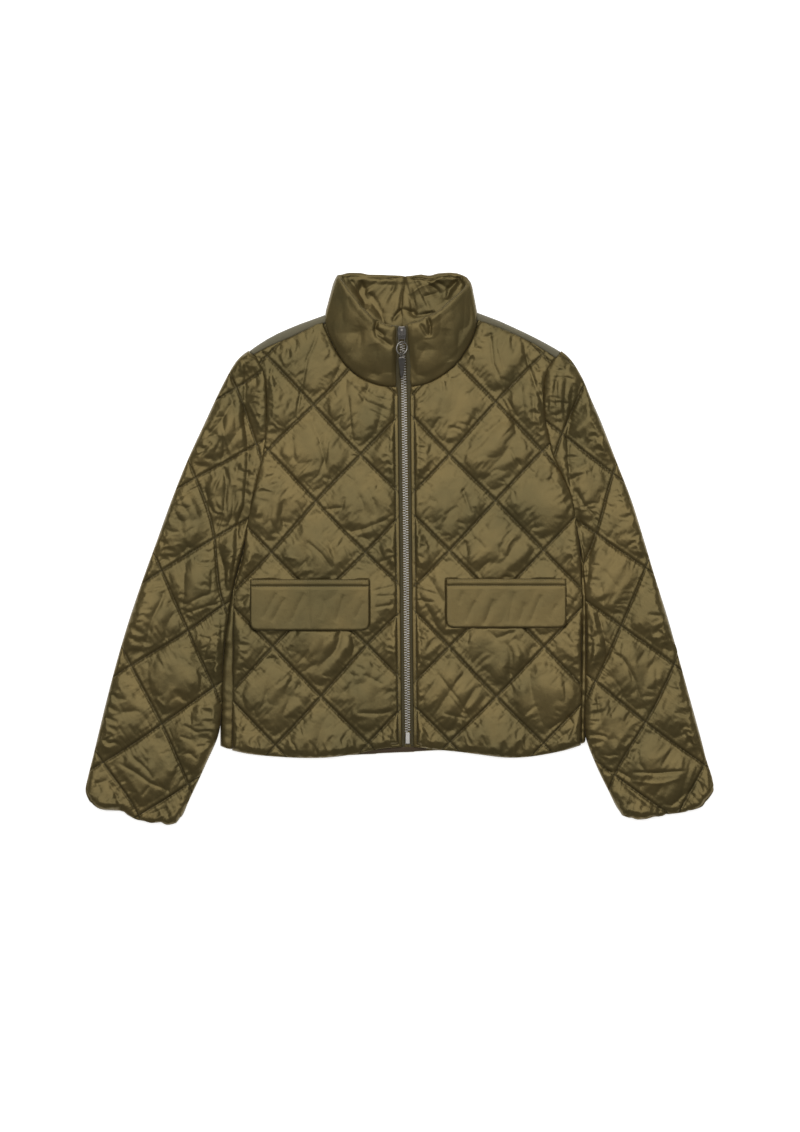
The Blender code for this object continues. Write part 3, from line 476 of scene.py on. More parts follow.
def resample(loop, step):
    """A closed outline with points a step apart, softened where it hardly turns."""
    closed = np.vstack([loop, loop[:1]])
    sizes = np.linalg.norm(np.diff(closed, axis=0), axis=1)
    at = np.concatenate([[0], np.cumsum(sizes)])
    keep = []
    for start, size in zip(at, sizes):
        count = max(1, int(round(size / step)))
        keep += [start + size * k / count for k in range(count)]
    points = np.stack([np.interp(keep, at, closed[:, axis]) for axis in range(3)], 1)
    gaps = np.linalg.norm(points - np.roll(points, 1, axis=0), axis=1)
    points = points[gaps > step * 0.35]
    for _ in range(4):
        before, after = np.roll(points, 1, axis=0), np.roll(points, -1, axis=0)
        first, second = points - before, after - points
        turn = np.abs(np.arctan2(first[:, 0] * second[:, 1] - first[:, 1] * second[:, 0],
                                 (first[:, :2] * second[:, :2]).sum(1)))
        ease = np.where(turn < radians(28), 0.5, 0.0)[:, None]
        points = points + ease * ((before + after) / 2 - points)
    return points


def side_ways(loop):
    """The direction out of an anticlockwise outline at each of its points."""
    ahead = np.roll(loop[:, :2], -1, axis=0) - np.roll(loop[:, :2], 1, axis=0)
    ahead /= np.linalg.norm(ahead, axis=1)[:, None]
    return np.stack([ahead[:, 1], -ahead[:, 0]], 1)


def inset_rows(loop, amounts):
    """Points at set distances inside an outline."""
    outward = side_ways(loop)
    rows = []
    for amount in amounts:
        row = loop[:, :2] - outward * amount
        row = row[inside(row, loop)]
        rows.append(row[edge_distance(row, loop) > amount * 0.96])
    return np.vstack(rows)


def triangles(points, edges, count):
    """Delaunay triangles inside an outline, the first points; the rim and where points went."""
    result = delaunay_2d_cdt([Vector(p) for p in points], edges, [], 0, 1e-7, True)
    places = np.array([v[:] for v in result[0]])
    faces = [face for face in result[2] if len(face) == 3]
    walls = {frozenset(edge) for edge, sources in zip(result[1], result[4])
             if any(source < count for source in sources)}
    sides = {}
    for n, face in enumerate(faces):
        for k in range(3):
            sides.setdefault(frozenset((face[k], face[k - 1])), []).append(n)

    def neighbours(n):
        shared = (frozenset((faces[n][k], faces[n][k - 1])) for k in range(3))
        return [other for side in shared if side not in walls for other in sides[side]]

    centre = places[np.array(faces)].mean(1)
    loop = np.array(points[:count])
    sample = np.nonzero(inside(centre, loop))[0][::40]
    start = sample[edge_distance(centre[sample], loop).argmax()]
    kept = [faces[n] for n in sorted(spreading(start, neighbours))]
    directed = {(face[k], face[(k + 1) % 3]) for face in kept for k in range(3)}
    following = {a: b for a, b in directed if (b, a) not in directed}
    rim = [next(iter(following))]
    while following[rim[-1]] != rim[0]:
        rim.append(following[rim[-1]])
    used = np.unique(np.array(kept))
    new = np.full(len(places), -1)
    new[used] = np.arange(len(used))
    went = np.full(len(points), -1)
    for n, sources in enumerate(result[3]):
        for source in sources:
            went[source] = new[n]
    return places[used], new[np.array(kept)], new[np.array(rim)], went


# ---------------------------------------------------------------- quilting

class Quilt:
    """Two families of stitch lines, bent to pass through the crossings that drifted."""

    def __init__(self, origin, first, second, crossings, parts):
        self.origin, self.first, self.second = (np.array(v) * MM for v in (origin, first, second))
        self.area = self.first[0] * self.second[1] - self.first[1] * self.second[0]
        self.parts = parts
        self.sides = np.array([np.hypot(*self.second), np.hypot(*self.first)])
        self.spacing = abs(self.area) / self.sides
        places = np.array(crossings) * MM
        self.knots = np.round(self.straight(places))
        drift = places - self.origin - self.knots @ np.stack([self.first, self.second])
        self.weights = np.linalg.solve(self.pull(self.knots) + 0.05 * np.eye(len(places)), drift)

    def straight(self, points):
        x, y = (points - self.origin).T
        return np.stack([x * self.second[1] - y * self.second[0],
                         self.first[0] * y - self.first[1] * x], 1) / self.area

    def pull(self, cells):
        return np.exp(-((cells[:, None] - self.knots[None]) ** 2).sum(2) / 1.1)

    def drift(self, cells):
        return self.pull(cells) @ self.weights

    def place(self, cells):
        return self.origin + cells @ np.stack([self.first, self.second]) + self.drift(cells)

    def cells(self, points):
        found = self.straight(points)
        for _ in range(8):
            found = self.straight(points - self.drift(found))
        return found

    def pillow(self, cells):
        """0 on the stitch lines and 1 in the middle of a diamond."""
        part = cells - np.floor(cells)
        return np.maximum(0, 16 * (part * (1 - part)).prod(1))

    def nearest(self, cells):
        """The nearest stitch line of each place: its family, its number and how far it is."""
        off = np.abs(cells - np.round(cells)) * self.spacing
        family = off.argmin(1)
        rows = np.arange(len(cells))
        return family, np.round(cells[rows, family]), off[rows, family]

    def off_line(self, cells):
        """Distance from the nearest stitch line, the way along it, its number and side."""
        family, whole, off = self.nearest(cells)
        rows = np.arange(len(cells))
        along = cells[rows, 1 - family] * self.sides[family]
        side = np.sign(cells[rows, family] - whole)
        return off, along, whole * 4 + family * 2 + (side > 0)

    def lines(self, loop):
        """The stitch lines that cross an outline."""
        cells = self.cells(loop[:, :2])
        low, high = cells.min(0), cells.max(0)
        found = []
        for family in (0, 1):
            along = np.arange(low[1 - family] - 0.1, high[1 - family] + 0.1, 0.03)
            for whole in range(ceil(low[family]), int(high[family]) + 1):
                line = np.zeros((len(along), 2))
                line[:, family], line[:, 1 - family] = whole, along
                found.append(self.place(line))
        return found

    def grid(self, loop):
        """Columns and rows of the grid over an outline, so many parts to a diamond."""
        cells = self.cells(loop[:, :2])
        low = np.floor(cells.min(0) * self.parts).astype(int) - 2
        high = np.ceil(cells.max(0) * self.parts).astype(int) + 2
        return (grid.ravel() for grid in np.meshgrid(
            np.arange(low[0], high[0] + 1), np.arange(low[1], high[1] + 1), indexing="ij"))


# Rows of points inside the edge of a piece of cloth
RIM_ROWS = [0.8, 2.2, 4.3, 6.6]


class Cloth:
    """A flat-laid piece of cloth with its outline, its stitched places and its height."""

    def __init__(self, node, step, quilt=None, seam=None):
        self.quilt = quilt
        self.loop = resample(outline(node), step)
        if quilt:
            self.loop[:, :2] += OUTSIDE * MM * side_ways(self.loop)
        place, edges, rows, fill = self.quilted() if quilt else self.plain(step, seam)
        count = len(self.loop)
        edges = [(n, (n + 1) % count) for n in range(count)] + edges
        fill = fill[inside(fill, self.loop)]
        fill = fill[edge_distance(fill, self.loop) > 0.009]
        random = np.random.default_rng(7)
        points = [self.loop[:, :2], place, rows, fill + random.normal(0, step * 0.05, fill.shape)]
        self.places, self.faces, self.rim, went = triangles(np.vstack(points), edges, count)
        stitched = went[count:count + len(place)]
        self.stitched = np.unique(stitched[stitched >= 0])
        self.edge_off, _, self.edge_top = line_distance(self.places, self.loop, closed=True)

    def rim_rows(self):
        return inset_rows(self.loop, np.array(RIM_ROWS) * MM)

    def quilted(self):
        """Points on the stitch lines, the edges between them and the points between lines."""
        loop, quilt, parts = self.loop, self.quilt, self.quilt.parts
        count = len(loop)
        column, row = quilt.grid(loop)
        on = (column % parts == 0) | (row % parts == 0)
        lines = np.stack([column[on], row[on]], 1)
        place = quilt.place(lines / parts)
        keep = inside(place, loop)
        keep[keep] = edge_distance(place[keep], loop) > 0.0012
        index = {tuple(v): count + n for n, v in enumerate(lines[keep].tolist())}
        edges = []
        for (a, b), n in index.items():
            for on_line, after in ((b % parts == 0, (a + 1, b)), (a % parts == 0, (a, b + 1))):
                if on_line and after in index:
                    edges.append((n, index[after]))
        cells = np.stack([(column + np.where(row % 2 == 0, 0.0, 0.5)) / parts, row / parts], 1)
        cells = cells[np.abs(cells - np.round(cells)).min(1) * parts > 0.6]
        rows = self.rim_rows()
        off = np.abs(quilt.cells(rows) - np.round(quilt.cells(rows))).min(1) * parts
        return place[keep], edges, rows[off > 0.5], quilt.place(cells)

    def plain(self, step, seam):
        """Points on one seam, the edges between them and a grid of points for the rest."""
        low, high = self.loop[:, :2].min(0), self.loop[:, :2].max(0)
        across = np.arange(low[0], high[0], step)
        up = np.arange(low[1], high[1], step * 0.87)
        grid_x, grid_y = np.meshgrid(across, up)
        grid_x = grid_x + np.where(np.arange(len(up)) % 2 == 0, 0.0, step / 2)[:, None]
        fill = np.stack([grid_x.ravel(), grid_y.ravel()], 1)
        start, end = (np.array(p) * MM for p in seam)
        number = max(2, int(np.hypot(*(end - start)) / step))
        line = start + (end - start) * np.linspace(0, 1, number)[:, None]
        base = len(self.loop)
        edges = [(base + n, base + n + 1) for n in range(number - 1)]
        rows, fill = (points[line_distance(points, line)[0] > step * 0.6]
                      for points in (self.rim_rows(), fill))
        return line, edges, rows, fill


def read(items, name, wide=1, kind=np.float32):
    """One attribute of all the items of a mesh."""
    values = np.zeros(len(items) * wide, kind)
    items.foreach_get(name, values)
    return values.reshape(-1, wide).astype(float) if wide > 1 else values


def blown(pieces, settings):
    """Cloth simulation of several sheets at once: their pinned points stay, the rest swells."""
    scene = bpy.context.scene
    items = []
    for points, faces, pinned in pieces:
        mesh = bpy.data.meshes.new("cloth")
        mesh.from_pydata(points.tolist(), [], faces.tolist())
        item = placed("cloth", mesh)
        group = item.vertex_groups.new(name="pinned")
        group.add([int(n) for n in pinned], 1.0, "REPLACE")
        modifier = item.modifiers.new("Cloth", "CLOTH")
        cloth = modifier.settings
        cloth.effector_weights.gravity = 0.0
        cloth.vertex_group_mass = "pinned"
        cloth.use_pressure = True
        cloth.uniform_pressure_force = settings.pressure
        cloth.shrink_min = cloth.shrink_max = -settings.fullness
        cloth.bending_stiffness = 0.4
        modifier.collision_settings.use_collision = False
        modifier.point_cache.frame_start = 1
        modifier.point_cache.frame_end = settings.frames
        items.append(item)
    for number in range(1, settings.frames + 1):
        scene.frame_set(number)
    graph = bpy.context.evaluated_depsgraph_get()
    results = [read(item.evaluated_get(graph).data.vertices, "co", 3) for item in items]
    for item in items:
        discard(item)
    scene.frame_set(1)
    return results


def capped(before, after, limit):
    """Moved points, none further than a limit from where it was."""
    move = after - before
    size = np.linalg.norm(move, axis=1)[:, None]
    return before + move * np.minimum(1, limit / np.maximum(size, 1e-9))


# ---------------------------------------------------------------- meshes

def placed(name, data):
    """A new object of the scene."""
    item = bpy.data.objects.new(name, data)
    bpy.context.scene.collection.objects.link(item)
    return item


def discard(item):
    mesh = item.data
    bpy.data.objects.remove(item)
    bpy.data.meshes.remove(mesh)


def mesh_of(name, bm):
    mesh = bpy.data.meshes.new(name)
    bm.to_mesh(mesh)
    bm.free()
    return mesh


def piece(name, bm, finish, replaced=(), smooth=True):
    """A finished mesh becomes a piece that rides on the jacket."""
    mesh = mesh_of(name, bm)
    mesh.materials.append(finishes()[finish])
    if smooth:
        mesh.shade_smooth()
    item = placed(name, mesh)
    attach(item, "jacket")
    if replaced:
        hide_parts(*replaced)
    return item


def positions(bm):
    return np.array([vert.co[:] for vert in bm.verts])


def normals(bm):
    bm.normal_update()
    return np.array([vert.normal[:] for vert in bm.verts])


def move_to(bm, points):
    for vert, point in zip(bm.verts, points.tolist()):
        vert.co = point


def soften(bm, verts, times=1, flat=False):
    """Points eased towards their neighbours, only up and down if they are to stay in plan."""
    for _ in range(times):
        bmesh.ops.smooth_vert(bm, verts=verts, factor=0.5, use_axis_x=not flat,
                              use_axis_y=not flat, use_axis_z=True)


def refine(bm):
    """Each triangle becomes four, and the new points are eased onto a smooth surface."""
    bmesh.ops.subdivide_edges(bm, edges=bm.edges[:], cuts=1, use_grid_fill=True)
    soften(bm, [vert for vert in bm.verts if not vert.is_boundary], 2, flat=True)


def sheet_mesh(points, faces):
    bm = bmesh.new()
    verts = [bm.verts.new(p) for p in points.tolist()]
    for face in faces.tolist():
        bm.faces.new([verts[n] for n in face])
    bm.verts.index_update()
    return bm


def close_below(bm, foot, height, rows):
    """An underside below a sheet: walls down to its foot, then a height for each inset."""
    following = {corner.vert: corner.link_loop_next.vert for face in bm.faces
                 for corner in face.loops if corner.edge.is_boundary}
    rim = [next(iter(following))]
    while following[rim[-1]] is not rim[0]:
        rim.append(following[rim[-1]])
    top = np.array([vert.co[:] for vert in rim])
    low = foot(top)
    count = len(rim)
    start, end = top[:, :2].min(0), top[:, :2].max(0)
    across, up = (np.arange(low_end, high_end, 0.02) for low_end, high_end in zip(start, end))
    fill = np.array([(x + 0.01 * (n % 2), y) for n, y in enumerate(up) for x in across])
    fill = fill[inside(fill, top)]
    fill = fill[edge_distance(fill, top) > (max(rows) + 0.006 if rows else 0.012)]
    points = [top[:, :2]] + ([inset_rows(top[::2], rows)] if rows else []) + [fill]
    edges = [(n, (n + 1) % count) for n in range(count)]
    places, faces, _, went = triangles(np.vstack(points), edges, count)
    nearest = ((places[:, None] - top[None, ::3, :2]) ** 2).sum(2).argmin(1) * 3
    level = height(edge_distance(places, top), low[nearest])
    verts = [bm.verts.new((*place, z)) for place, z in zip(places.tolist(), level.tolist())]
    for n, vert in enumerate(rim):
        verts[went[n]].co = (*vert.co[:2], low[n])
    for face in faces.tolist():
        bm.faces.new([verts[n] for n in reversed(face)])
    for a, b in edges:
        bm.faces.new((rim[b], rim[a], verts[went[a]], verts[went[b]]))
    bm.normal_update()


def close_flat(bm, level):
    """A flat underside at a level."""
    close_below(bm, lambda rim: np.full(len(rim), level * MM), lambda distance, low: low, ())


def close_rolled(bm):
    """The underside of a sleeve, which rolls down to the surface it lies on."""
    close_below(bm, lambda rim: np.minimum(rim[:, 2] - 0.0008, 0.0066),
                lambda distance, low: low * (1 - rounding(distance, 0.0125)),
                (0.001, 0.003, 0.006, 0.0095))


# The open end of each sleeve, where elastic gathers it
CUFFS = {
    "sleeve_right": [(-405, -316), (-387, -335), (-362, -342), (-340, -350), (-300, -356),
                     (-283, -349)],
    "sleeve_left": [(407, -304), (398, -325), (370, -338), (345, -345), (300, -352), (288, -345)],
}

# Creases laid on each panel: depth (a ridge is negative), half width and the points
# of a line. Two half widths are for the right and left hand of somebody who walks the line.
CREASES = {
    "collar": [
        (2.6, 2.4, 7.2, 357.7, 6.6, 346.3, 2.3, 330.1, 0.7, 313.8, 3.3, 302.4),
        (-3.3, 4.4, 12.1, 330.1, 29.9, 342.4, 65.7, 355.4),
        (5.2, 3.8, -49.7, 347.9, -47.4, 330.1, -44.2, 310.6),
        (3.8, 3.8, -18.8, 291.1, -28.6, 313.8, -39.9, 333.3), (3.8, 2.5, 2.3, 312.2, -9.1, 295.9),
        (3.8, 3, 5.6, 312.2, 23.4, 302.4, 46.2, 307.3),
        (6, 3, 60.8, 323.6, 65.7, 336.6, 78.7, 349.6),
        (2.7, 2, 75.5, 354.4, 82, 343.1, 77.1, 335.9), (2.7, 2, 85.2, 352.8, 91.7, 343.7),
        (2.2, 3.1, -9.1, 333.3, -4.2, 352.8), (2.7, 3.1, 29.9, 326.8, 52.7, 333.3),
        (5.1, 2, -28.6, 295.9, -31.2, 284.6, -18.8, 274.8),
        (3.6, 2.8, -33.4, 284.6, -28.6, 274.8, -9.1, 261.2), (2.4, 1.9, -18.8, 291.1, -9.1, 287.2),
        (4.5, 2.1, 36.5, 299.2, 39.7, 287.8, 39, 274.2), (2.7, 2.2, 26.7, 291.1, 36.5, 274.8),
        (-2.1, 5, -80.5, 356.7, -62.7, 330.1, -46.4, 305.7, -33.4, 294.3),
        (2.4, 2.5, -67.5, 352.8, -51.3, 330.1, -38.3, 315.4),
        (-2.1, 5, 39.7, 294.3, 65.7, 317.1, 88.5, 339.8),
        (1.5, 7.5, 13.7, 216.3, 23.4, 242.3, 36.5, 265.1),
        (1.5, 7.5, -70.8, 242.3, -57.8, 265.1, -51.3, 287.8),
        (1.4, 7.5, 65.7, 242.3, 59.2, 265.1, 60.8, 284.6),
        (1.4, 7.5, -35.1, 219.6, -28.6, 242.3, -31.2, 265.1),
    ],
    "front_right": [
        (1.6, 2, -128, 203, -134, 165), (2.6, 2.4, -67, 200, -64, 165, -60, 134),
        (2, 2.5, -62, 212, -42, 190, -12, 178), (1.8, 2.2, -52, 210, -30, 196, -6, 190),
        (1.6, 2.2, -40, 180, -16, 168), (2, 2.2, -92, 150, -95, 120, -105, 95, -118, 84),
        (1.7, 2.3, -88, 104, -93, 78), (1, 3, -140, 150, -136, 120),
        (1.3, 2.2, -158, 104, -174, 82), (2.3, 3.6, -150, 64, -153, 42, -149, 24),
        (1.8, 2.6, -134, 62, -127, 46, -134, 32), (1.4, 2.4, -168, 38, -160, 20),
        (2.1, 2.4, -71, 67, -75, 53, -100, 50),
        (2.4, 3, -80, 32, -63, 21, -44, 26, -20, 36, -5, 47), (1, 4, -55, 66, -42, 65),
        (1.5, 2, -25, 88, -30, 78), (2.1, 2.4, -120, 9, -101, -8, -88, -27),
        (-1.4, 2.2, -109, 12, -93, -2, -84, -22), (-1.3, 2, -152, -11, -132, -14),
        (1.3, 2.2, -72, 2, -62, -12), (1.7, 2, -2, -9, -28, -19), (1.5, 2, -4, 18, -30, 10),
        (1.7, 2, -2, -48, -36, -56), (1.5, 1.8, -2, -62, -30, -62), (1.7, 2, -2, -72, -32, -77),
        (1.4, 2, -12, -100, -24, -92), (1.5, 2, -176, -144, -160, -142),
        (1.7, 2.2, -206, -154, -184, -161), (1.8, 2.4, -162, -149, -137, -166),
        (1.5, 2.2, -147, -172, -128, -179), (2.3, 2, -62, -110, -59, -128, -62, -142),
        (1.6, 2.2, -140, -126, -143, -135), (1.7, 2.4, -60, -158, -62, -174, -71, -189),
        (1.7, 2.4, -38, -148, -14, -166), (1.3, 2.4, -46, -164, -20, -178),
        (2, 2.6, -56, -214, -22, -215, -5, -209), (1.7, 2, -25, -233, -22, -252),
        (1.6, 2, -10, -235, -14, -252), (1.4, 2.2, -130, -213, -124, -228),
        (1.5, 2, -78, -215, -70, -228), (1.2, 2.6, -190, -208, -184, -222),
        (1.6, 2.2, -200, -240, -176, -236), (1.6, 2, -205, -196, -212, -186),
        (2, 2.2, -196, -60, -206, -72), (1.8, 2, -200, -78, -212, -88),
        (1.6, 2, -205, -105, -196, -98),
        (2.3, 2, -103, 290, -110, 268, -120, 245, -127, 209, -136, 167),
        (1.2, 2.4, -133, 271, -130, 255, -136, 229), (2, 2.2, -76, 240, -86, 216, -92, 201),
        (1.3, 2, -147, 264, -142, 247), (2, 2, -162, 243, -170, 224, -172, 198),
        (1.4, 1.8, -157, 269, -155, 258), (1.5, 1.8, -167, 264, -162, 251),
        (1.5, 1.8, -176, 258, -169, 247), (1.2, 2.4, -96, 277, -88, 251),
        (1.4, 1.8, -126, 281, -122, 271), (1.6, 1.8, -185, 251, -176, 237),
        (1.3, 1.8, -111, 287, -119, 271),
    ],
    "front_left": [
        (1.9, 2.2, 37, 214, 29, 200, 14, 191), (1.7, 2.2, 48, 208, 31, 190, 16, 185),
        (1.6, 2.2, 18, 152, 36, 136), (2, 2.8, 66, 160, 58, 138),
        (2.2, 2.2, 132, 196, 149, 164, 152, 148), (1.5, 2.4, 96, 170, 88, 158),
        (2.6, 2.4, 181, 210, 189, 178, 192, 158), (2, 2.4, 203, 206, 199, 168),
        (3.2, 3, 216, 206, 211, 176, 213, 148), (1.7, 2, 198, 148, 206, 118),
        (2, 2.8, 144, 131, 150, 116, 157, 106), (2.4, 2.6, 82, 77, 88, 60, 93, 44),
        (1.6, 4, 38, 63, 50, 60), (1.4, 2.4, 58, 42, 76, 55),
        (2.8, 2.4, 204, 112, 215, 92, 226, 70), (1.8, 2, 212, 116, 224, 96),
        (1.6, 2.2, 148, 76, 151, 60), (1.9, 3.2, 172, 46, 176, 24), (1.3, 2.4, 195, 92, 204, 78),
        (2, 3, 85, 10, 89, -10), (1.6, 2.6, 98, 14, 112, -2),
        (2.2, 2.8, 142, 14, 131, 2, 133, -12), (-1.6, 2.4, 151, 18, 141, 5, 138, -9),
        (1.2, 2.4, 110, 32, 116, 22), (1.7, 2, 15, -18, 36, -31), (1.8, 2.2, 15, -49, 50, -61),
        (1.6, 2, 15, -67, 46, -70), (1.6, 2, 15, 10, 32, 22), (1.4, 2, 15, 30, 34, 32),
        (1.5, 2, 15, 98, 32, 88), (1.6, 2.2, 20, -100, 40, -112), (1.7, 2.2, 22, -140, 40, -146),
        (2, 2.4, 90, -106, 88, -126), (1.7, 2.6, 114, -106, 126, -117, 150, -108),
        (1.6, 2.2, 76, -118, 68, -136), (2, 2.4, 45, -156, 59, -175, 76, -196, 92, -222),
        (-0.6, 3, 53, -153, 68, -171, 88, -196), (1.5, 1.8, 64, -190, 86, -219),
        (1.6, 2.4, 56, -214, 90, -222), (2.3, 2.4, 216, -212, 226, -230, 216, -252),
        (1.9, 2.4, 194, -236, 226, -214), (1.8, 2.4, 204, -251, 228, -232),
        (1.4, 3, 158, -150, 202, -147), (1.5, 2, 150, -168, 158, -178),
        (1.7, 2.2, 106, -223, 94, -236), (1.4, 2.2, 128, -205, 118, -216),
        (1.9, 2.2, 216, -62, 230, -70), (1.6, 2, 220, -84, 212, -96),
        (1.5, 2.4, 214, -110, 228, -126), (1.8, 2.2, 30, -230, 40, -248),
        (1.8, 2.2, 222, 6, 230, -12), (1.6, 2, 214, 22, 228, 12),
        (2.2, 2.2, 116, 290, 119, 268, 122, 240, 134, 212),
        (1.5, 2.2, 129, 286, 128, 261, 137, 232),
        (3.2, 2.6, 161, 271, 165, 247, 172, 225, 183, 195, 190, 170), (1.2, 2.6, 98, 281, 95, 243),
        (1.6, 2.2, 139, 195, 154, 170), (2, 2, 172, 245, 180, 233, 189, 236),
        (1.5, 2.2, 147, 277, 146, 258), (1.8, 1.8, 166, 263, 183, 250),
        (1.7, 1.8, 178, 261, 192, 252), (1.2, 2, 108, 294, 105, 274),
        (1.8, 2.2, 179, 240, 183, 216), (1.2, 2, 155, 227, 137, 206),
    ],
    "sleeve_right": [
        (6.5, (3, 11), -199.5, 247.5, -200.8, 213.7, -202.1, 168.2, -196.9, 126.6, -198, 100,
         -202.1, 55.1, -209.9, 34.3, -213.8, -15.1, -220, -60),
        (3.2, 3.4, -231, 172, -228, 150, -228, 126, -232, 111),
        (1.3, 1.8, -263, 140, -241, 150, -232, 142, -242, 119), (1.2, 1.8, -262, 125, -248, 133),
        (2.2, 3, -222, 205, -214, 180, -212, 150), (1.7, 1.8, -292, 61, -268, 77, -256, 83),
        (3, 2.6, -253, 79, -249, 58, -242, 47),
        (4.4, 3.2, -228, 107, -225, 80, -228, 50, -237, 22),
        (3.6, 4, -214, 82, -217, 44, -226, 22), (2, 2, -246, 50, -236, 44, -240, 28),
        (0.9, 2.2, -287, 44, -262, 60), (0.9, 2.2, -282, 18, -265, 28),
        (1.8, 3.4, -291, -18, -276, 2, -262, 0), (4.2, 3.6, -236, 2, -228, -25, -226, -62),
        (1.6, 1.8, -281, -75, -256, -62, -244, -60), (1.7, 1.8, -281, -86, -250, -75, -234, -72),
        (1.5, 1.8, -262, -114, -245, -118), (1.5, 1.8, -258, -131, -240, -124),
        (1.4, 1.8, -254, -146, -240, -142),
        (3.4, 3.4, -233, -78, -231, -110, -231, -170, -233, -208),
        (1.8, 2, -312, -130, -304, -146), (-1.6, 1.8, -316, -195, -304, -206),
        (1.5, 2, -263, -160, -245, -176), (1.4, 1.8, -286, -244, -268, -250),
        (1.5, 2, -281, -229, -260, -241), (1.4, 1.8, -276, -264, -262, -275),
        (1.3, 1.8, -290, -268, -278, -262),
        (2.2, 2.4, -366, -279, -345, -290, -324, -305, -298, -316),
        (1.9, 2.2, -346, -271, -326, -290, -320, -301),
        (2.8, 2.2, -378, -303, -371, -315, -365, -330, -362, -342),
        (1.6, 1.8, -372, -306, -364, -318, -368, -326), (1.7, 2.2, -326, -346, -300, -337),
        (1.5, 2, -335, -322, -325, -308), (1.8, 2, -308, -352, -296, -340),
        (1.8, 2.2, -396, -300, -388, -318), (1.9, 2, -350, -352, -346, -336),
        (1.8, 2, -330, -356, -328, -342), (1, 3, -352, -100, -330, -94),
        (1, 3, -340, -62, -318, -50), (1.1, 3, -368, -215, -340, -210),
        (1.2, 2.4, -388, -250, -362, -240), (1.2, 2.6, -340, -118, -322, -125),
        (2, 2.2, -209, 243, -207, 221), (-1.8, 1.6, -196, 189, -179, 155),
        (1.5, 1.8, -198, 203, -175, 201), (1.8, 2, -220, 224, -213, 209),
        (1.6, 2.6, -191, 237, -185, 212),
    ],
    "sleeve_left": [
        (6.5, (4, 9), 237, 222, 226, 182, 218, 150, 219, 120, 222, 80, 228, 48, 234, 20, 241, -6,
         243, -44), (3, 2.8, 228, 78, 240, 56, 256, 41), (3.6, 3.6, 229, 46, 238, 30, 252, 20),
        (3.8, 3.6, 256, 40, 255, 20, 248, 0, 245, -30, 242, -58), (-1.8, 2.6, 251, -84, 262, -130),
        (3.2, 3, 258, -82, 267, -118, 271, -146),
        (3.2, 3.4, 234, -72, 236, -120, 241, -162, 240, -205),
        (2.2, 2.6, 246, -92, 250, -130, 246, -150),
        (2.1, 2.6, 276, -134, 292, -146, 306, -171, 316, -206),
        (1.2, 2.6, 301, -120, 300, -150, 304, -190), (-1.8, 2.6, 290, -262, 301, -250, 297, -280),
        (2.2, 2.6, 309, -260, 312, -280, 320, -290), (3.2, 2, 303, -291, 336, -292, 373, -289),
        (-1.6, 2.2, 298, -303, 340, -306, 366, -298), (2.2, 2, 263, -290, 285, -290, 301, -299),
        (2, 2, 285, -301, 300, -315, 326, -336), (1.9, 2.2, 348, -342, 364, -325, 386, -309),
        (1.8, 2, 370, -332, 384, -318), (1.9, 2.2, 395, -318, 388, -300),
        (1.8, 2.8, 262, -44, 266, -76), (1.6, 1.8, 270, 8, 292, -10), (1.2, 3, 266, -28, 284, -52),
        (1.1, 2.6, 262, 92, 242, 100), (1.2, 2.4, 282, 30, 272, 12),
        (1.2, 2.6, 348, -110, 352, -135), (1.2, 2.4, 330, -205, 318, -222),
        (1.3, 2.4, 365, -232, 378, -255), (1.8, 2, 270, -318, 282, -336),
        (1.8, 2, 300, -350, 296, -336), (1.6, 2, 318, -348, 314, -334),
        (1.7, 2, 336, -346, 340, -332), (2.4, 2.4, 203, 220, 206, 162),
        (1.8, 2.2, 216, 217, 214, 180), (2.4, 2.6, 226, 215, 222, 180, 218, 154),
        (1.8, 2, 193, 201, 192, 177), (2, 1.6, 197, 222, 215, 222, 234, 218),
        (1.4, 2, 217, 240, 216, 225),
    ],
    "pocket_flap_right": [
        (0.7, 2.2, -118, -50, -117, -105), (0.8, 3.2, -166, -96, -149, -64),
        (0.7, 3.2, -178, -92, -160, -58), (0.7, 3.4, -142, -98, -124, -58),
        (0.8, 3, -72, -60, -83, -96), (0.5, 3, -58, -92, -46, -68), (0.5, 3, -96, -66, -103, -92),
    ],
    "pocket_flap_left": [
        (0.4, 3, 83, -56, 77, -72), (0.6, 3, 99, -68, 86, -97), (0.8, 3.2, 110, -100, 122, -66),
        (0.7, 2.8, 149, -56, 141, -98), (0.5, 3.4, 163, -70, 155, -97),
        (0.7, 3.2, 184, -60, 169, -98), (0.4, 3.2, 204, -72, 196, -94),
    ],
}


def lay_creases(points, name, share_of_depth=1.0):
    """Soft troughs and ridges along the lines of a table, in metres of height."""
    height = np.zeros(len(points))
    for depth, width, *line in CREASES[name]:
        line = np.array(line).reshape(-1, 2) * MM
        right, left = width if isinstance(width, tuple) else (width, width)
        reach = 3.5 * max(right, left) * MM
        low, high = line.min(0) - reach, line.max(0) + reach
        box = ((points[:, :2] > low) & (points[:, :2] < high)).all(1)
        near = points[box]
        distance, place, _ = line_distance(near, line)
        half = np.full(len(near), right * MM)
        if left != right:
            ahead = walk(line, place + 0.001) - walk(line, place - 0.001)
            off = near[:, :2] - walk(line, place)
            half[ahead[:, 0] * off[:, 1] - ahead[:, 1] * off[:, 0] > 0] = left * MM
        whole = travel(line)[-1]
        fade = np.sqrt(ramp(np.minimum(place, whole - place), 0, 0.2 * whole))
        share = distance / half
        fall = np.exp(-np.where(share < 1, share, share ** 1.6))
        height[box] -= share_of_depth * depth * MM * fall * fade
    return height


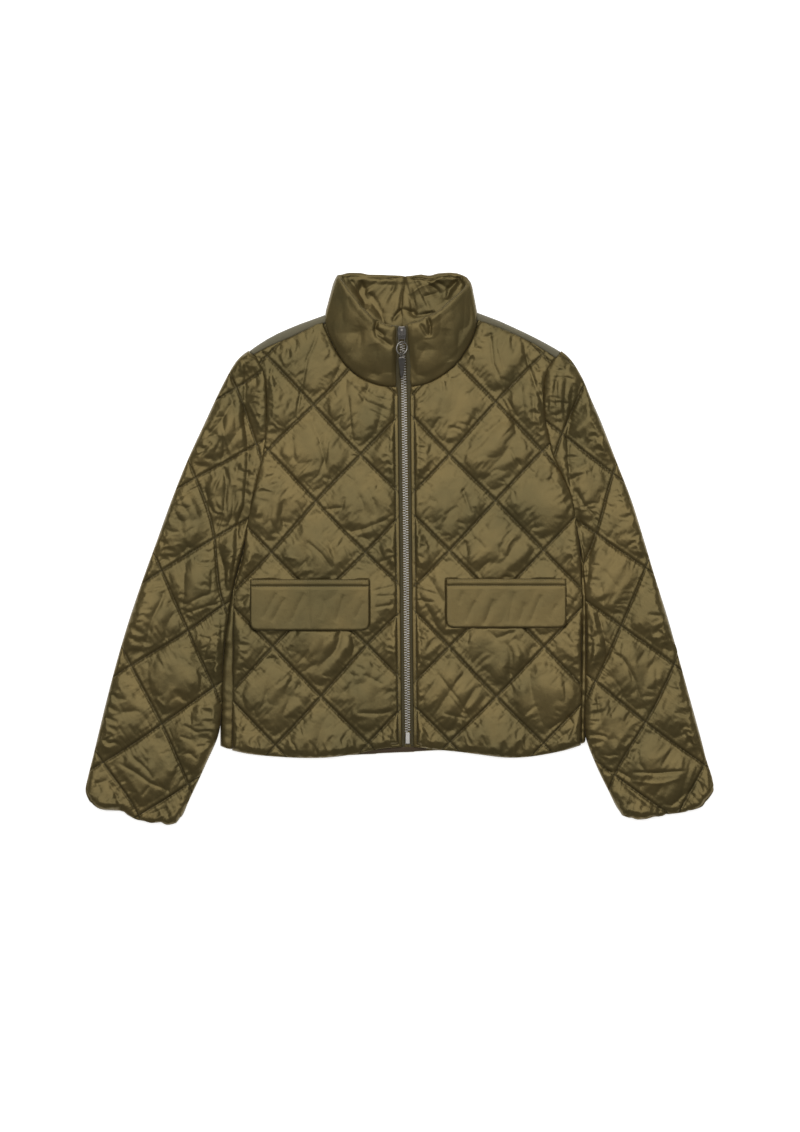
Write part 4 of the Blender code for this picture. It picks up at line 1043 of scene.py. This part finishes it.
def puckers(distance, along, line, seed, size=0.0009, reach=0.012):
    """Gathers with sharp valleys that stand square to a stitch line and die out beside it."""
    lean = along + 0.35 * distance * ripple(along / 0.03, line, seed + 4)
    lift = np.abs(ripple(lean / 0.0058 + line * 17.3, distance / 0.03, seed))
    lift += 0.9 * np.abs(ripple(lean / 0.0115 + line * 7.1, distance / 0.04, seed + 1))
    strength = 0.3 + 0.9 * np.abs(ripple(along / 0.04 + line * 3.7, line, seed + 2))
    fade = np.exp(-(distance / reach) ** 1.3) * np.clip(distance / 0.0014, 0, 1)
    return size * strength * (lift - 0.75) * fade


# Relief of the quilting: the wall beside a stitch line and how soon it rises, the pillow, its
# broad and its close folds, and the share of the creases' depth that the wadding leaves
WALL, WALL_REACH = 1.6, 0.9
PILLOW = 5.2
BROAD_FOLD, CLOSE_FOLD = 3.2, 2.1
CREASE_SHARE = 0.62


def crumple(points, cells, seed):
    """Broad sharp-edged folds in each pillow, each pillow's in a direction of its own."""
    column, row = np.floor(cells[:, 0]), np.floor(cells[:, 1])
    angle = pi / 2 + 0.75 * chance(column, row, seed)
    x = points[:, 0] * np.sin(angle) - points[:, 1] * np.cos(angle)
    y = points[:, 0] * np.cos(angle) + points[:, 1] * np.sin(angle)
    wander = 0.006 * ripple(x / 0.03, y / 0.03, seed + 9)
    x = x + wander + column * 0.37 + row * 0.71
    broad = folded(x / 0.025, y / 0.07, seed + 1)
    close = folded(x / 0.012, y / 0.036, seed + 2)
    part = cells - np.floor(cells)
    fade = np.clip(16 * (part * (1 - part)).prod(1) * 3.0, 0, 1)
    patch = np.clip(0.55 + 0.9 * ripple(points[:, 0] / 0.045, points[:, 1] / 0.05, seed + 3), 0, 1)
    return (BROAD_FOLD * MM * broad + CLOSE_FOLD * MM * close * patch) * fade


# Half sizes of a stitch, and how far from its middle its ends are laid on the cloth
STITCH_SIZE = (0.34, 1.45, 0.30)
STITCH_REACH = 1.2


def stitch():
    """One stitch, along Y."""
    bm = bmesh.new()
    bmesh.ops.create_icosphere(bm, subdivisions=1, radius=1.0)
    bmesh.ops.scale(bm, vec=[size * MM for size in STITCH_SIZE], verts=bm.verts[:])
    return bm


def sewn(line, tree, loop, pitch=0.0038, clear=0.0025):
    """Places of the stitches of a line that lie on a piece of cloth."""
    at = np.arange(pitch / 2, travel(line)[-1], pitch)
    starts, ends = (walk(line, at + shift * MM) for shift in (-STITCH_REACH, STITCH_REACH))
    middle = (starts + ends) / 2
    keep = inside(middle, loop)
    keep[keep] = edge_distance(middle[keep], loop) > clear
    matrices = []
    for start, end in zip(starts[keep], ends[keep]):
        start, end = top_at(tree, *start), top_at(tree, *end)
        if start and end:
            matrices.append(frame_along((start + end) / 2 + 0.0001 * UP, end - start))
    return matrices


def zip_band(points):
    """Width of the flat stitched band along the zip, 0 elsewhere."""
    beside = (np.abs(points[:, 0] - 0.008) < 0.02) & (points[:, 1] < 0.2)
    return np.where(beside, ZIP_BAND * MM, 0.0)


def zip_line(loop):
    """The line of stitches that holds the edge of a front to the zip."""
    near = loop[(np.abs(loop[:, 0] - 0.008) < 0.02) & (np.abs(loop[:, 1] + 0.028) < 0.225)]
    near = near[near[:, 1].argsort()]
    side = np.sign(loop[:, 0].mean())
    return near[:, :2] + np.array([side * ZIP_BAND * MM, 0.0])


def eased(values, ends, passes):
    """Values at the points of a mesh, evened out along its edges."""
    first, second = ends.T
    links = np.bincount(ends.ravel(), minlength=len(values))
    for _ in range(passes):
        total = np.bincount(first, values[second], len(values))
        total += np.bincount(second, values[first], len(values))
        values = (values + total / links) / 2
    return values


def quilt_height(cloth, puff):
    """Height of the cloth before it is blown up."""
    top = STITCH_TOP * MM + puff * cloth.quilt.pillow(cloth.quilt.cells(cloth.places)) ** 0.55
    height = cloth.edge_top + (top - cloth.edge_top) * rounding(cloth.edge_off, EDGE_ROLL * MM)
    flat = cloth.edge_top + 0.0012 * rounding(cloth.edge_off, 0.002)
    return np.where(cloth.edge_off < zip_band(cloth.places), flat, height)


def finish_quilt(bm, node, cloth, groove, seed):
    """Pillows between stitched valleys, gathers and creases on a refined panel."""
    points = positions(bm)
    cells = cloth.quilt.cells(points[:, :2])
    distance, along, line = cloth.quilt.off_line(cells)
    edge_off, edge_along, edge_top = line_distance(points, cloth.loop, closed=True)
    band = zip_band(points)
    free = ramp(edge_off, band, 0.0015)
    ends = np.array([[vert.index for vert in edge.verts] for edge in bm.edges])
    fine = points[:, 2] - eased(points[:, 2], ends, 80)
    fine *= ramp(distance, 0.003, 0.012) * ramp(edge_off, 0, 0.01)
    stitched = edge_top + (STITCH_TOP * MM - edge_top) * rounding(edge_off, EDGE_ROLL * MM)
    pillow = WALL * MM * (1 - np.exp(-distance / (WALL_REACH * MM)))
    pillow += PILLOW * MM * cloth.quilt.pillow(cells) ** 0.75
    shaped = stitched + pillow * rounding(edge_off, 0.008) + fine
    shaped += (crumple(points, cells, seed + 20) * (1 - np.exp(-distance / 0.006))
               * ramp(edge_off, 0, 0.010))
    points[:, 2] += (shaped - points[:, 2]) * free
    points[:, 2] += lay_creases(points, node, CREASE_SHARE) * ramp(edge_off, 0, 0.006)
    level = -groove * np.exp(-(distance / 0.0012) ** 2) * free
    level += puckers(distance, along, line, seed + 3) * free * ramp(edge_off, 0, 0.004)
    level += puckers(np.maximum(edge_off - band, 0), edge_along, np.zeros(len(points)), seed + 5,
                     0.0010, 0.008) * free
    level -= 0.0010 * np.exp(-((edge_off - band) / 0.0009) ** 2) * (band > 0)
    if node in CUFFS:
        level += gather_cuff(points, np.array(CUFFS[node]) * MM, seed)
        points[:, 2] += level
    else:
        points[:, 2] += level
        press_under_flap(points, FLAPS["pocket_flap" + node[5:]])
    move_to(bm, points)


def gather_cuff(points, cuff, seed):
    """Gathers of a cuff, in metres of height, and lumps that are moved along its rim."""
    off, around, _ = line_distance(points, cuff)
    level = puckers(off, around * 0.55, np.zeros(len(points)), seed + 8, 0.0022, 0.026)
    lump = np.abs(ripple(around / 0.0105, seed, 81))
    lump += 0.5 * np.abs(ripple(around / 0.019, seed, 82))
    lump = 0.0027 * (lump - 0.55) * np.exp(-(off / 0.009) ** 2)
    points[:, 0] += lump * (0.30 if points[0, 0] > 0 else -0.30)
    points[:, 1] -= lump * 0.95
    return level


def press_under_flap(points, flap):
    """The front is pressed down under its pocket flap, and rises round it."""
    x0, x1, y0, y1 = (v * MM for v in flap)
    outside = np.hypot(np.maximum(np.maximum(x0 - points[:, 0], points[:, 0] - x1), 0),
                       np.maximum(np.maximum(y0 - points[:, 1], points[:, 1] - y1), 0))
    limit = FLAP_REST * MM + np.minimum(2.5 * outside, 0.0028) + 0.7 * outside
    points[:, 2] = np.minimum(below(points[:, 2], limit, 0.002),
                              np.where(outside <= 0, FLAP_REST * MM, 1.0))


def stitch_map(item, cloth):
    """A UV map of the way along the nearest stitch line and the distance from it."""
    mesh, quilt = item.data, cloth.quilt
    corners = read(mesh.loops, "vertex_index", kind=np.int32)
    totals = read(mesh.polygons, "loop_total", kind=np.int32)
    here = quilt.cells(read(mesh.vertices, "co", 3)[:, :2])[corners]
    owner = np.repeat(np.arange(len(totals)), totals)
    centre = np.zeros((len(totals), 2))
    np.add.at(centre, owner, here)
    family, whole, _ = quilt.nearest(centre / totals[:, None])
    family, whole = family[owner], whole[owner]
    rows = np.arange(len(corners))
    u = here[rows, 1 - family] * quilt.sides[family] + whole * 0.317 + family * 0.11
    v = np.abs(here[rows, family] - whole) * quilt.spacing[family]
    layer = mesh.uv_layers.new(name="stitches")
    layer.data.foreach_set("uv", np.column_stack([u, v]).ravel().astype(np.float32))


class JACKET_OT_quilted_panels(bpy.types.Operator):
    """Make both fronts and both sleeves as quilted, wadded cloth"""
    bl_idname = "jacket.quilted_panels"
    bl_label = "Quilted panels"

    def execute(self, context):
        settings = context.scene.jacket_cloth
        parts = int(round(DIAMOND * MM / settings.step))
        cloths = {node: Cloth(node, settings.step, Quilt(*quilt, parts))
                  for node, quilt in QUILTS.items()}
        sheets = []
        for cloth in cloths.values():
            points = np.column_stack([cloth.places, quilt_height(cloth, settings.puff)])
            held = np.union1d(cloth.rim, cloth.stitched)
            flat = np.nonzero(cloth.edge_off < zip_band(cloth.places))[0]
            sheets.append((points, cloth.faces, np.union1d(held, flat)))
        swollen = blown(sheets, settings)
        stitches = []
        for seed, (node, cloth) in enumerate(cloths.items()):
            bm = sheet_mesh(capped(sheets[seed][0], swollen[seed], 0.009), cloth.faces)
            refine(bm)
            finish_quilt(bm, node, cloth, settings.groove, 11 * seed)
            lines = cloth.quilt.lines(cloth.loop)
            if node in CUFFS:
                close_rolled(bm)
            else:
                close_flat(bm, FRONT_INSIDE)
                lines.append(zip_line(cloth.loop))
            tree = BVHTree.FromBMesh(bm)
            for line in lines:
                stitches += sewn(line, tree, cloth.loop)
            item = piece(node + "_cloth", bm, "quilt", replaced=(node,))
            stitch_map(item, cloth)
        piece("quilting_thread", scattered(stitch(), stitches), "thread")
        return {"FINISHED"}


# ---------------------------------------------------------------- collar, flaps, strips, back

def remeshed(node, voxel, softened=1):
    """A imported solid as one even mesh."""
    item = placed("even", mesh_of("even", merged(node)))
    modifier = item.modifiers.new("Remesh", "REMESH")
    modifier.mode = "VOXEL"
    modifier.voxel_size = voxel
    graph = bpy.context.evaluated_depsgraph_get()
    result = bmesh.new()
    result.from_mesh(item.evaluated_get(graph).to_mesh())
    discard(item)
    soften(result, result.verts[:], softened)
    return result


# Where the two halves of the collar meet, and its opening, where the inside of its back shows
COLLAR_BACK = 5.4
NECK = [(-75, 353), (-69, 341), (-50, 320), (-31, 300), (-7, 293), (12, 294), (36, 307), (57, 320),
        (79, 341), (84, 353)]


def collar_fan(points):
    """Sharp folds that fan out from the top of the seam at the back of the neck."""
    loop = np.array(NECK) * MM
    within = inside(points, loop)
    depth = np.where(within, edge_distance(points, loop), 0.0)
    depth = np.maximum(depth, np.where(within, np.clip((points[:, 1] - 0.340) * 0.5, 0, 1), 0.0))
    across, down = points[:, 0] - 0.0072, 0.372 - points[:, 1]
    angle, reach = np.arctan2(across, down), np.hypot(across, down)
    fold = folded(angle / 0.30, reach / 0.055, 71, 0.42)
    fold += 0.5 * folded(angle / 0.13 + 3.7, reach / 0.045, 72, 0.42)
    seam = 0.25 + 0.75 * ramp(np.abs(points[:, 0] - COLLAR_BACK * MM), 0, 0.014)
    return (0.0052 * fold - 0.0035) * ramp(depth, 0, 0.009) * seam


class JACKET_OT_collar(bpy.types.Operator):
    """Make both halves of the padded stand collar"""
    bl_idname = "jacket.collar"
    bl_label = "Collar"

    def execute(self, context):
        for seed, (node, side) in enumerate((("collar_right", 1.0), ("collar_left", -1.0))):
            bm = remeshed(node, 0.0013, 3)
            outward = normals(bm)
            points = positions(bm) + outward * (OUTSIDE * MM)
            x, y, z = points.T
            upward = np.clip(outward[:, 2] * 3, 0, 1)
            z += lay_creases(points, "collar") * upward
            z += collar_fan(points) * upward
            z[:] = np.where(upward > 0.2, np.maximum(z, 0.0045), z)
            # folds of the padded roll
            fold = 0.0024 * folded(x / 0.034, y / 0.05, 61 + seed)
            fold += 0.0011 * folded(x / 0.014, y / 0.03, 63 + seed)
            points += outward * (fold * ramp(z, 0.014, 0.006))[:, None]
            # the top rim waves, and the halves lap over at the back
            y += 0.0020 * ramp(y, 0.330, 0.015) * ripple(x / 0.013, z / 0.02, 65)
            x += (side * 0.0026 * ramp(np.abs(x - COLLAR_BACK * MM), 0.009, -0.009)
                  * ramp(y, 0.284, 0.006))
            # the foot at the back of the neck reaches under the fronts
            foot = ramp(z, 0.012, -0.003) * ramp(y, 0.296, -0.008) * (y > 0.280)
            y -= 0.012 * foot * ramp(np.abs(x), 0.09, -0.01)
            z[:] = np.maximum(z, 0.0002)
            move_to(bm, points)
            item = piece(node + "_cloth", bm, "nylon", replaced=(node,))
        return {"FINISHED"}


class JACKET_OT_back(bpy.types.Operator):
    """Make the padded back with the strips that roll round the sides"""
    bl_idname = "jacket.back"
    bl_label = "Back"

    def execute(self, context):
        bm = remeshed("back", 0.0026)
        points = positions(bm)
        x, y, z = points.T
        side = np.sign(x)
        # the sides roll outwards, and the neck is drawn in and up
        wide = ramp(np.abs(x), 0.215, 0.010) * (y < 0.15)
        x += side * 0.0018 * wide
        neck = (y > 0.275) * ramp(np.abs(x), 0.118, -0.01)
        x -= side * 0.006 * neck
        y += 0.003 * neck
        # gathers and the hem's line of stitches
        top = ramp(z, 0.004, 0.004) * wide
        lean = y + 0.25 * x
        lift = folded(lean / 0.0125, x / 0.04, 31) + 0.5 * folded(lean / 0.0065, x / 0.03, 32)
        z += 0.0030 * lift * top
        z -= 0.0016 * top * np.exp(-((y + 0.2296) / 0.0016) ** 2)
        z[:] = np.maximum(z, 0.0)
        move_to(bm, points)
        item = piece("back_cloth", bm, "nylon", replaced=("back",))
        return {"FINISHED"}


class JACKET_OT_shoulder_strips(bpy.types.Operator):
    """Make the matte rolled strips along the shoulders"""
    bl_idname = "jacket.shoulder_strips"
    bl_label = "Shoulder strips"

    def execute(self, context):
        for node, side in (("shoulder_strip_right", -1.0), ("shoulder_strip_left", 1.0)):
            bm = remeshed(node, 0.0016)
            points = positions(bm)
            # the end by the neck is drawn in under the collar
            near = np.clip(1 - (side * points[:, 0] - 0.100) / 0.03, 0, 1)
            points[:, 0] -= side * 0.0105 * near
            points[:, 1] += 0.0020 * near
            move_to(bm, points)
            item = piece(node + "_cloth", bm, "canvas", replaced=(node,))
        return {"FINISHED"}


class JACKET_OT_pocket_flaps(bpy.types.Operator):
    """Make both pocket flaps with their stitched bands"""
    bl_idname = "jacket.pocket_flaps"
    bl_label = "Pocket flaps"

    def execute(self, context):
        stitches = []
        for n, (node, flap) in enumerate(FLAPS.items()):
            seam_y = flap[3] - FLAP_BAND
            cloth = Cloth(node, 0.0024, seam=((flap[0] + 1.5, seam_y), (flap[1] - 1.5, seam_y)))
            x0, x1, y0, y1 = (v * MM for v in flap)
            rise = FLAP_THICK * MM - 0.0014
            height = FLAP_FOOT * MM + 0.0014 + rise * rounding(cloth.edge_off, 0.0022)
            height[cloth.stitched] -= 0.001
            bm = sheet_mesh(np.column_stack([cloth.places, height]), cloth.faces)
            refine(bm)
            points = positions(bm)
            x, y, z = points.T
            z -= 0.0008 * np.exp(-((y - (y1 - FLAP_BAND * MM)) / 0.001) ** 2)
            z += lay_creases(points, node)
            fold = folded((x - 0.5 * y) / 0.021, y / 0.045, 91 + n)
            z += (0.0006 * fold * ramp(edge_distance(points, cloth.loop), 0, 0.006)
                  * (y < y1 - FLAP_BAND * MM - 0.001))
            move_to(bm, points)
            close_flat(bm, FLAP_FOOT)
            tree = BVHTree.FromBMesh(bm)
            for low in (FLAP_BAND * MM, 0.0022):
                line = np.array([(x0 + 0.002, y1 - low), (x1 - 0.002, y1 - low)])
                stitches += sewn(line, tree, cloth.loop, 0.0034, 0.0012)
            item = piece(node + "_cloth", bm, "nylon", replaced=(node,))
            x1 - x0
            y1 - y0
            "front" + node[11:] + "_cloth"
        piece("flap_thread", scattered(stitch(), stitches), "thread")
        return {"FINISHED"}


class JACKET_OT_hem_facing(bpy.types.Operator):
    """Make the strip of the hem's inside that shows below the fronts"""
    bl_idname = "jacket.hem_facing"
    bl_label = "Hem facing"

    def execute(self, context):
        bm = merged("hem_facing")
        bmesh.ops.bevel(bm, geom=[e for e in bm.edges if e.calc_face_angle(0) > 1], offset=0.0003,
                        affect="EDGES", segments=2, profile=0.5, material=-1)
        item = piece("hem_facing_cloth", bm, "facing", replaced=("hem_facing",))
        return {"FINISHED"}


# ---------------------------------------------------------------- zip

# The edge of each tape beside the teeth: its side, then the way up the jacket and the place
# across it
TAPES = {
    "right": (-1.0, [(-257.4, 6.6), (-200, 6.06), (-100, 5.11), (0, 4.15), (100, 3.01),
                     (200, 1.66), (240, 0.31), (280, -1.18), (288.4, -1.4)]),
    "left": (1.0, [(-257.4, 15.0), (-200, 14.46), (-100, 13.51), (0, 12.55), (100, 11.41),
                   (200, 10.06), (240, 8.71), (280, 7.22), (288.4, 7.0)]),
}

# Places of points across a tape, from its edge, and how much of it shows beside a front
TAPE_ROWS = [0, 0.3, 0.7, 1.1, 1.5, 2.2, 2.9, 3.6, 5.0, 7.0, 10.0]
TAPE_SHOWS = 3.6


def tape_mesh(side, edge, tree):
    """A woven tape with a corded edge, part of it tucked into the seam of a front."""
    edge_y, edge_x = np.array(edge).T * MM
    up = np.linspace(edge_y[0], edge_y[-1], 240)
    off = np.array(TAPE_ROWS) * MM
    level = []
    for y, x in zip(up, np.interp(up, edge_y, edge_x)):
        hit = top_at(tree, x + side * 0.0012, y)
        level.append(hit.z if hit else level[-1])
    grid_y, grid_off = np.meshgrid(up, off, indexing="ij")
    grid_x = np.interp(up, edge_y, edge_x)[:, None] + side * grid_off
    height = np.array(level)[:, None] + 0.0004 * np.exp(-((grid_off - 0.0007) / 0.0004) ** 2)
    height += 0.00012 * ripple(grid_y / 0.004, grid_off / 0.002, 51)
    height -= 0.0005 * ramp(grid_off, TAPE_SHOWS * MM, 0.002)
    points = np.stack([grid_x, grid_y, height], 2).reshape(-1, 3)
    wide = len(off)
    corner = (np.arange(len(up) - 1)[:, None] * wide + np.arange(wide - 1)).ravel()
    faces = np.stack([corner, corner + 1, corner + wide + 1, corner + wide], 1)
    bm = sheet_mesh(points, faces if side > 0 else faces[:, ::-1])
    bm.normal_update()
    bmesh.ops.solidify(bm, geom=bm.faces[:], thickness=0.0008)
    bmesh.ops.recalc_face_normals(bm, faces=bm.faces[:])
    return bm


# Teeth of both sides in turn: the pitch of one side, the size of a tooth, how far it stands to
# its side and how far it is sunk
TOOTH_PITCH = 3.3
TOOTH_SIZE = (4.3, 1.75, 2.7)
TOOTH_SIDE = 1.62
TOOTH_SUNK = 1.3

# The middle of the chain: the way up the jacket, and the place across it
CHAIN = [(-239.2, 10.6), (-120.0, 9.5), (36.0, 8.0), (140.0, 6.7), (193.0, 6.0), (212.0, 5.6),
         (268.0, 3.4)]

# Finishes of the hard pieces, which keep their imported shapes
HARD = {"zip_bottom_box": "nickel", "zip_slider": "gunmetal", "zip_link": "gunmetal",
        "zip_ring": "nickel", "zip_tab": "gunmetal"}


def bevelled_block(size, offset):
    """A block with all its edges bevelled once."""
    bm = bmesh.new()
    bmesh.ops.create_cube(bm, size=1.0)
    bmesh.ops.scale(bm, vec=size, verts=bm.verts[:])
    bmesh.ops.bevel(bm, geom=bm.edges[:], offset=offset, affect="EDGES", segments=1, profile=0.5,
                    material=-1)
    return bm


def scattered(pattern, matrices):
    """One mesh of many copies of a pattern."""
    base = positions(pattern)
    faces = [[vert.index for vert in face.verts] for face in pattern.faces]
    pattern.free()
    verts, polygons = [], []
    for number, matrix in enumerate(matrices):
        verts.append(base @ np.array(matrix.to_3x3()).T + np.array(matrix.translation))
        polygons += [[n + number * len(base) for n in face] for face in faces]
    mesh = bpy.data.meshes.new("scattered")
    mesh.from_pydata(np.vstack(verts).tolist(), [], polygons)
    bm = bmesh.new()
    bm.from_mesh(mesh)
    bpy.data.meshes.remove(mesh)
    return bm


def frame_along(place, ahead):
    """A matrix at a place with Y along a direction and Z near up."""
    ahead = ahead.normalized()
    across = ahead.cross(UP).normalized()
    up = across.cross(ahead)
    return Matrix.Translation(place) @ Matrix((across, ahead, up)).transposed().to_4x4()


def teeth_places():
    """Matrices of the teeth along the chain, in turn to either side."""
    tree = surface("zip_teeth")
    path_y, path_x = np.array(CHAIN).T * MM
    matrices = []
    for number in range(int((path_y[-1] - path_y[0] - 0.003) / (TOOTH_PITCH / 2 * MM))):
        y = float(path_y[0] + 0.0015 + number * TOOTH_PITCH / 2 * MM)
        here, after = (top_at(tree, float(np.interp(v, path_y, path_x)), v)
                       for v in (y, y + 0.001))
        if here and after:
            side = 1 if number % 2 else -1
            matrices.append(frame_along(here, after - here) @ Matrix.Translation(
                (side * TOOTH_SIDE * MM, 0, -TOOTH_SUNK * MM)))
    return matrices


class JACKET_OT_zip(bpy.types.Operator):
    """Make the zip's teeth and tapes, and finish its box, slider and pull"""
    bl_idname = "jacket.zip"
    bl_label = "Zip"

    def execute(self, context):
        block = bevelled_block([size * MM for size in TOOTH_SIZE], 0.0005)
        piece("zip_teeth_rows", scattered(block, teeth_places()), "nickel",
              replaced=("zip_teeth",), smooth=False)
        for name, (side, edge) in TAPES.items():
            node = "zip_tape_" + name
            item = piece(node + "_cloth", tape_mesh(side, edge, surface(node)), "tape",
                         replaced=(node,))
        for node, finish in HARD.items():
            item = NODES[node]
            if not item.material_slots:
                item.data.materials.append(finishes()[finish])
            for slot in item.material_slots:
                slot.material = finishes()[finish]
        return {"FINISHED"}


# ---------------------------------------------------------------- stage

LENS = 135.0
SENSOR = 36.0
VIEW_CENTRE = (0.0007, -0.0229)
VIEW_HEIGHT = 1.4716
VIEW_LEVEL = 0.015

# Soft lights: place, aim, size, power and colour
LIGHTS = {
    "window": ((0.0, 2.0, 1.3), (0.0, 0.0, 0.0), (2.6, 1.2), 15.0, (1.0, 0.98, 0.95)),
    "ceiling": ((-0.05, 0.85, 2.4), (-0.05, 0.85, 0.0), (3.4, 2.4), 44.0, (0.99, 0.99, 1.0)),
}


class JACKET_OT_stage(bpy.types.Operator):
    """Make the pale floor, the soft lights and the camera above"""
    bl_idname = "jacket.stage"
    bl_label = "Stage"

    def execute(self, context):
        scene = context.scene
        bm = bmesh.new()
        bmesh.ops.create_grid(bm, x_segments=2, y_segments=2, size=6.0)
        bmesh.ops.translate(bm, vec=(0, 0, -0.0004), verts=bm.verts[:])
        mesh = mesh_of("floor", bm)
        pale = Finish("pale_floor", Roughness=0.9, Specular_IOR_Level=0.1, Emission_Strength=0.85)
        tone = pale.blend(pale.noise(3.0), (0.86, 0.86, 0.86), (0.9, 0.9, 0.9))
        mesh.materials.append(pale.feed(Base_Color=tone, Emission_Color=tone))
        placed("floor", mesh)
        for name, (place, aim, size, power, colour) in LIGHTS.items():
            light = bpy.data.lights.new(name, "AREA")
            light.shape = "RECTANGLE"
            light.size, light.size_y = size
            light.energy = power
            light.color = colour
            item = placed(name, light)
            item.location = place
            item.rotation_euler = (Vector(aim) - Vector(place)).to_track_quat("-Z", "Y").to_euler()
            item.visible_camera = False
        world = bpy.data.worlds.new("studio")
        scene.world = world
        world.use_nodes = True
        background = world.node_tree.nodes["Background"]
        background.inputs["Color"].default_value = (1.0, 1.0, 1.0, 1.0)
        background.inputs["Strength"].default_value = 0.18
        scene.view_settings.view_transform = "Standard"
        camera = bpy.data.cameras.new("camera")
        camera.lens = LENS
        camera.sensor_width = SENSOR
        camera.clip_end = 50.0
        scene.camera = placed("camera", camera)
        scene.camera.location = (*VIEW_CENTRE, VIEW_HEIGHT * LENS / SENSOR + VIEW_LEVEL)
        return {"FINISHED"}


OPERATORS = (JACKET_OT_stage, JACKET_OT_quilted_panels, JACKET_OT_collar, JACKET_OT_back,
             JACKET_OT_shoulder_strips, JACKET_OT_pocket_flaps, JACKET_OT_hem_facing,
             JACKET_OT_zip)


class JACKET_PT_sidebar(bpy.types.Panel):
    """Lists the jacket's pieces and their settings"""
    bl_idname = "JACKET_PT_sidebar"
    bl_label = "Quilted Jacket"
    bl_space_type = "VIEW_3D"
    bl_region_type = "UI"
    bl_category = "Jacket"

    def draw(self, context):
        for group in (context.scene.jacket_cloth, context.scene.jacket_colours):
            for name in group.bl_rna.properties.keys():
                if name not in ("rna_type", "name"):
                    self.layout.prop(group, name)
        for operator in OPERATORS:
            self.layout.operator(operator.bl_idname)


def register():
    for item in (JacketCloth, JacketColours, *OPERATORS, JACKET_PT_sidebar):
        bpy.utils.register_class(item)
    bpy.types.Scene.jacket_cloth = PointerProperty(type=JacketCloth)
    bpy.types.Scene.jacket_colours = PointerProperty(type=JacketColours)


def unregister():
    del bpy.types.Scene.jacket_colours
    del bpy.types.Scene.jacket_cloth
    for item in (JACKET_PT_sidebar, *reversed(OPERATORS), JacketColours, JacketCloth):
        bpy.utils.unregister_class(item)


def main():
    for item in list(bpy.data.objects):
        if item.type in ("CAMERA", "LIGHT") or item.name == "Cube":
            bpy.data.objects.remove(item)
    register()
    for operator in OPERATORS:
        group, name = operator.bl_idname.split(".")
        getattr(getattr(bpy.ops, group), name)()


if __name__ == "__main__":
    main()
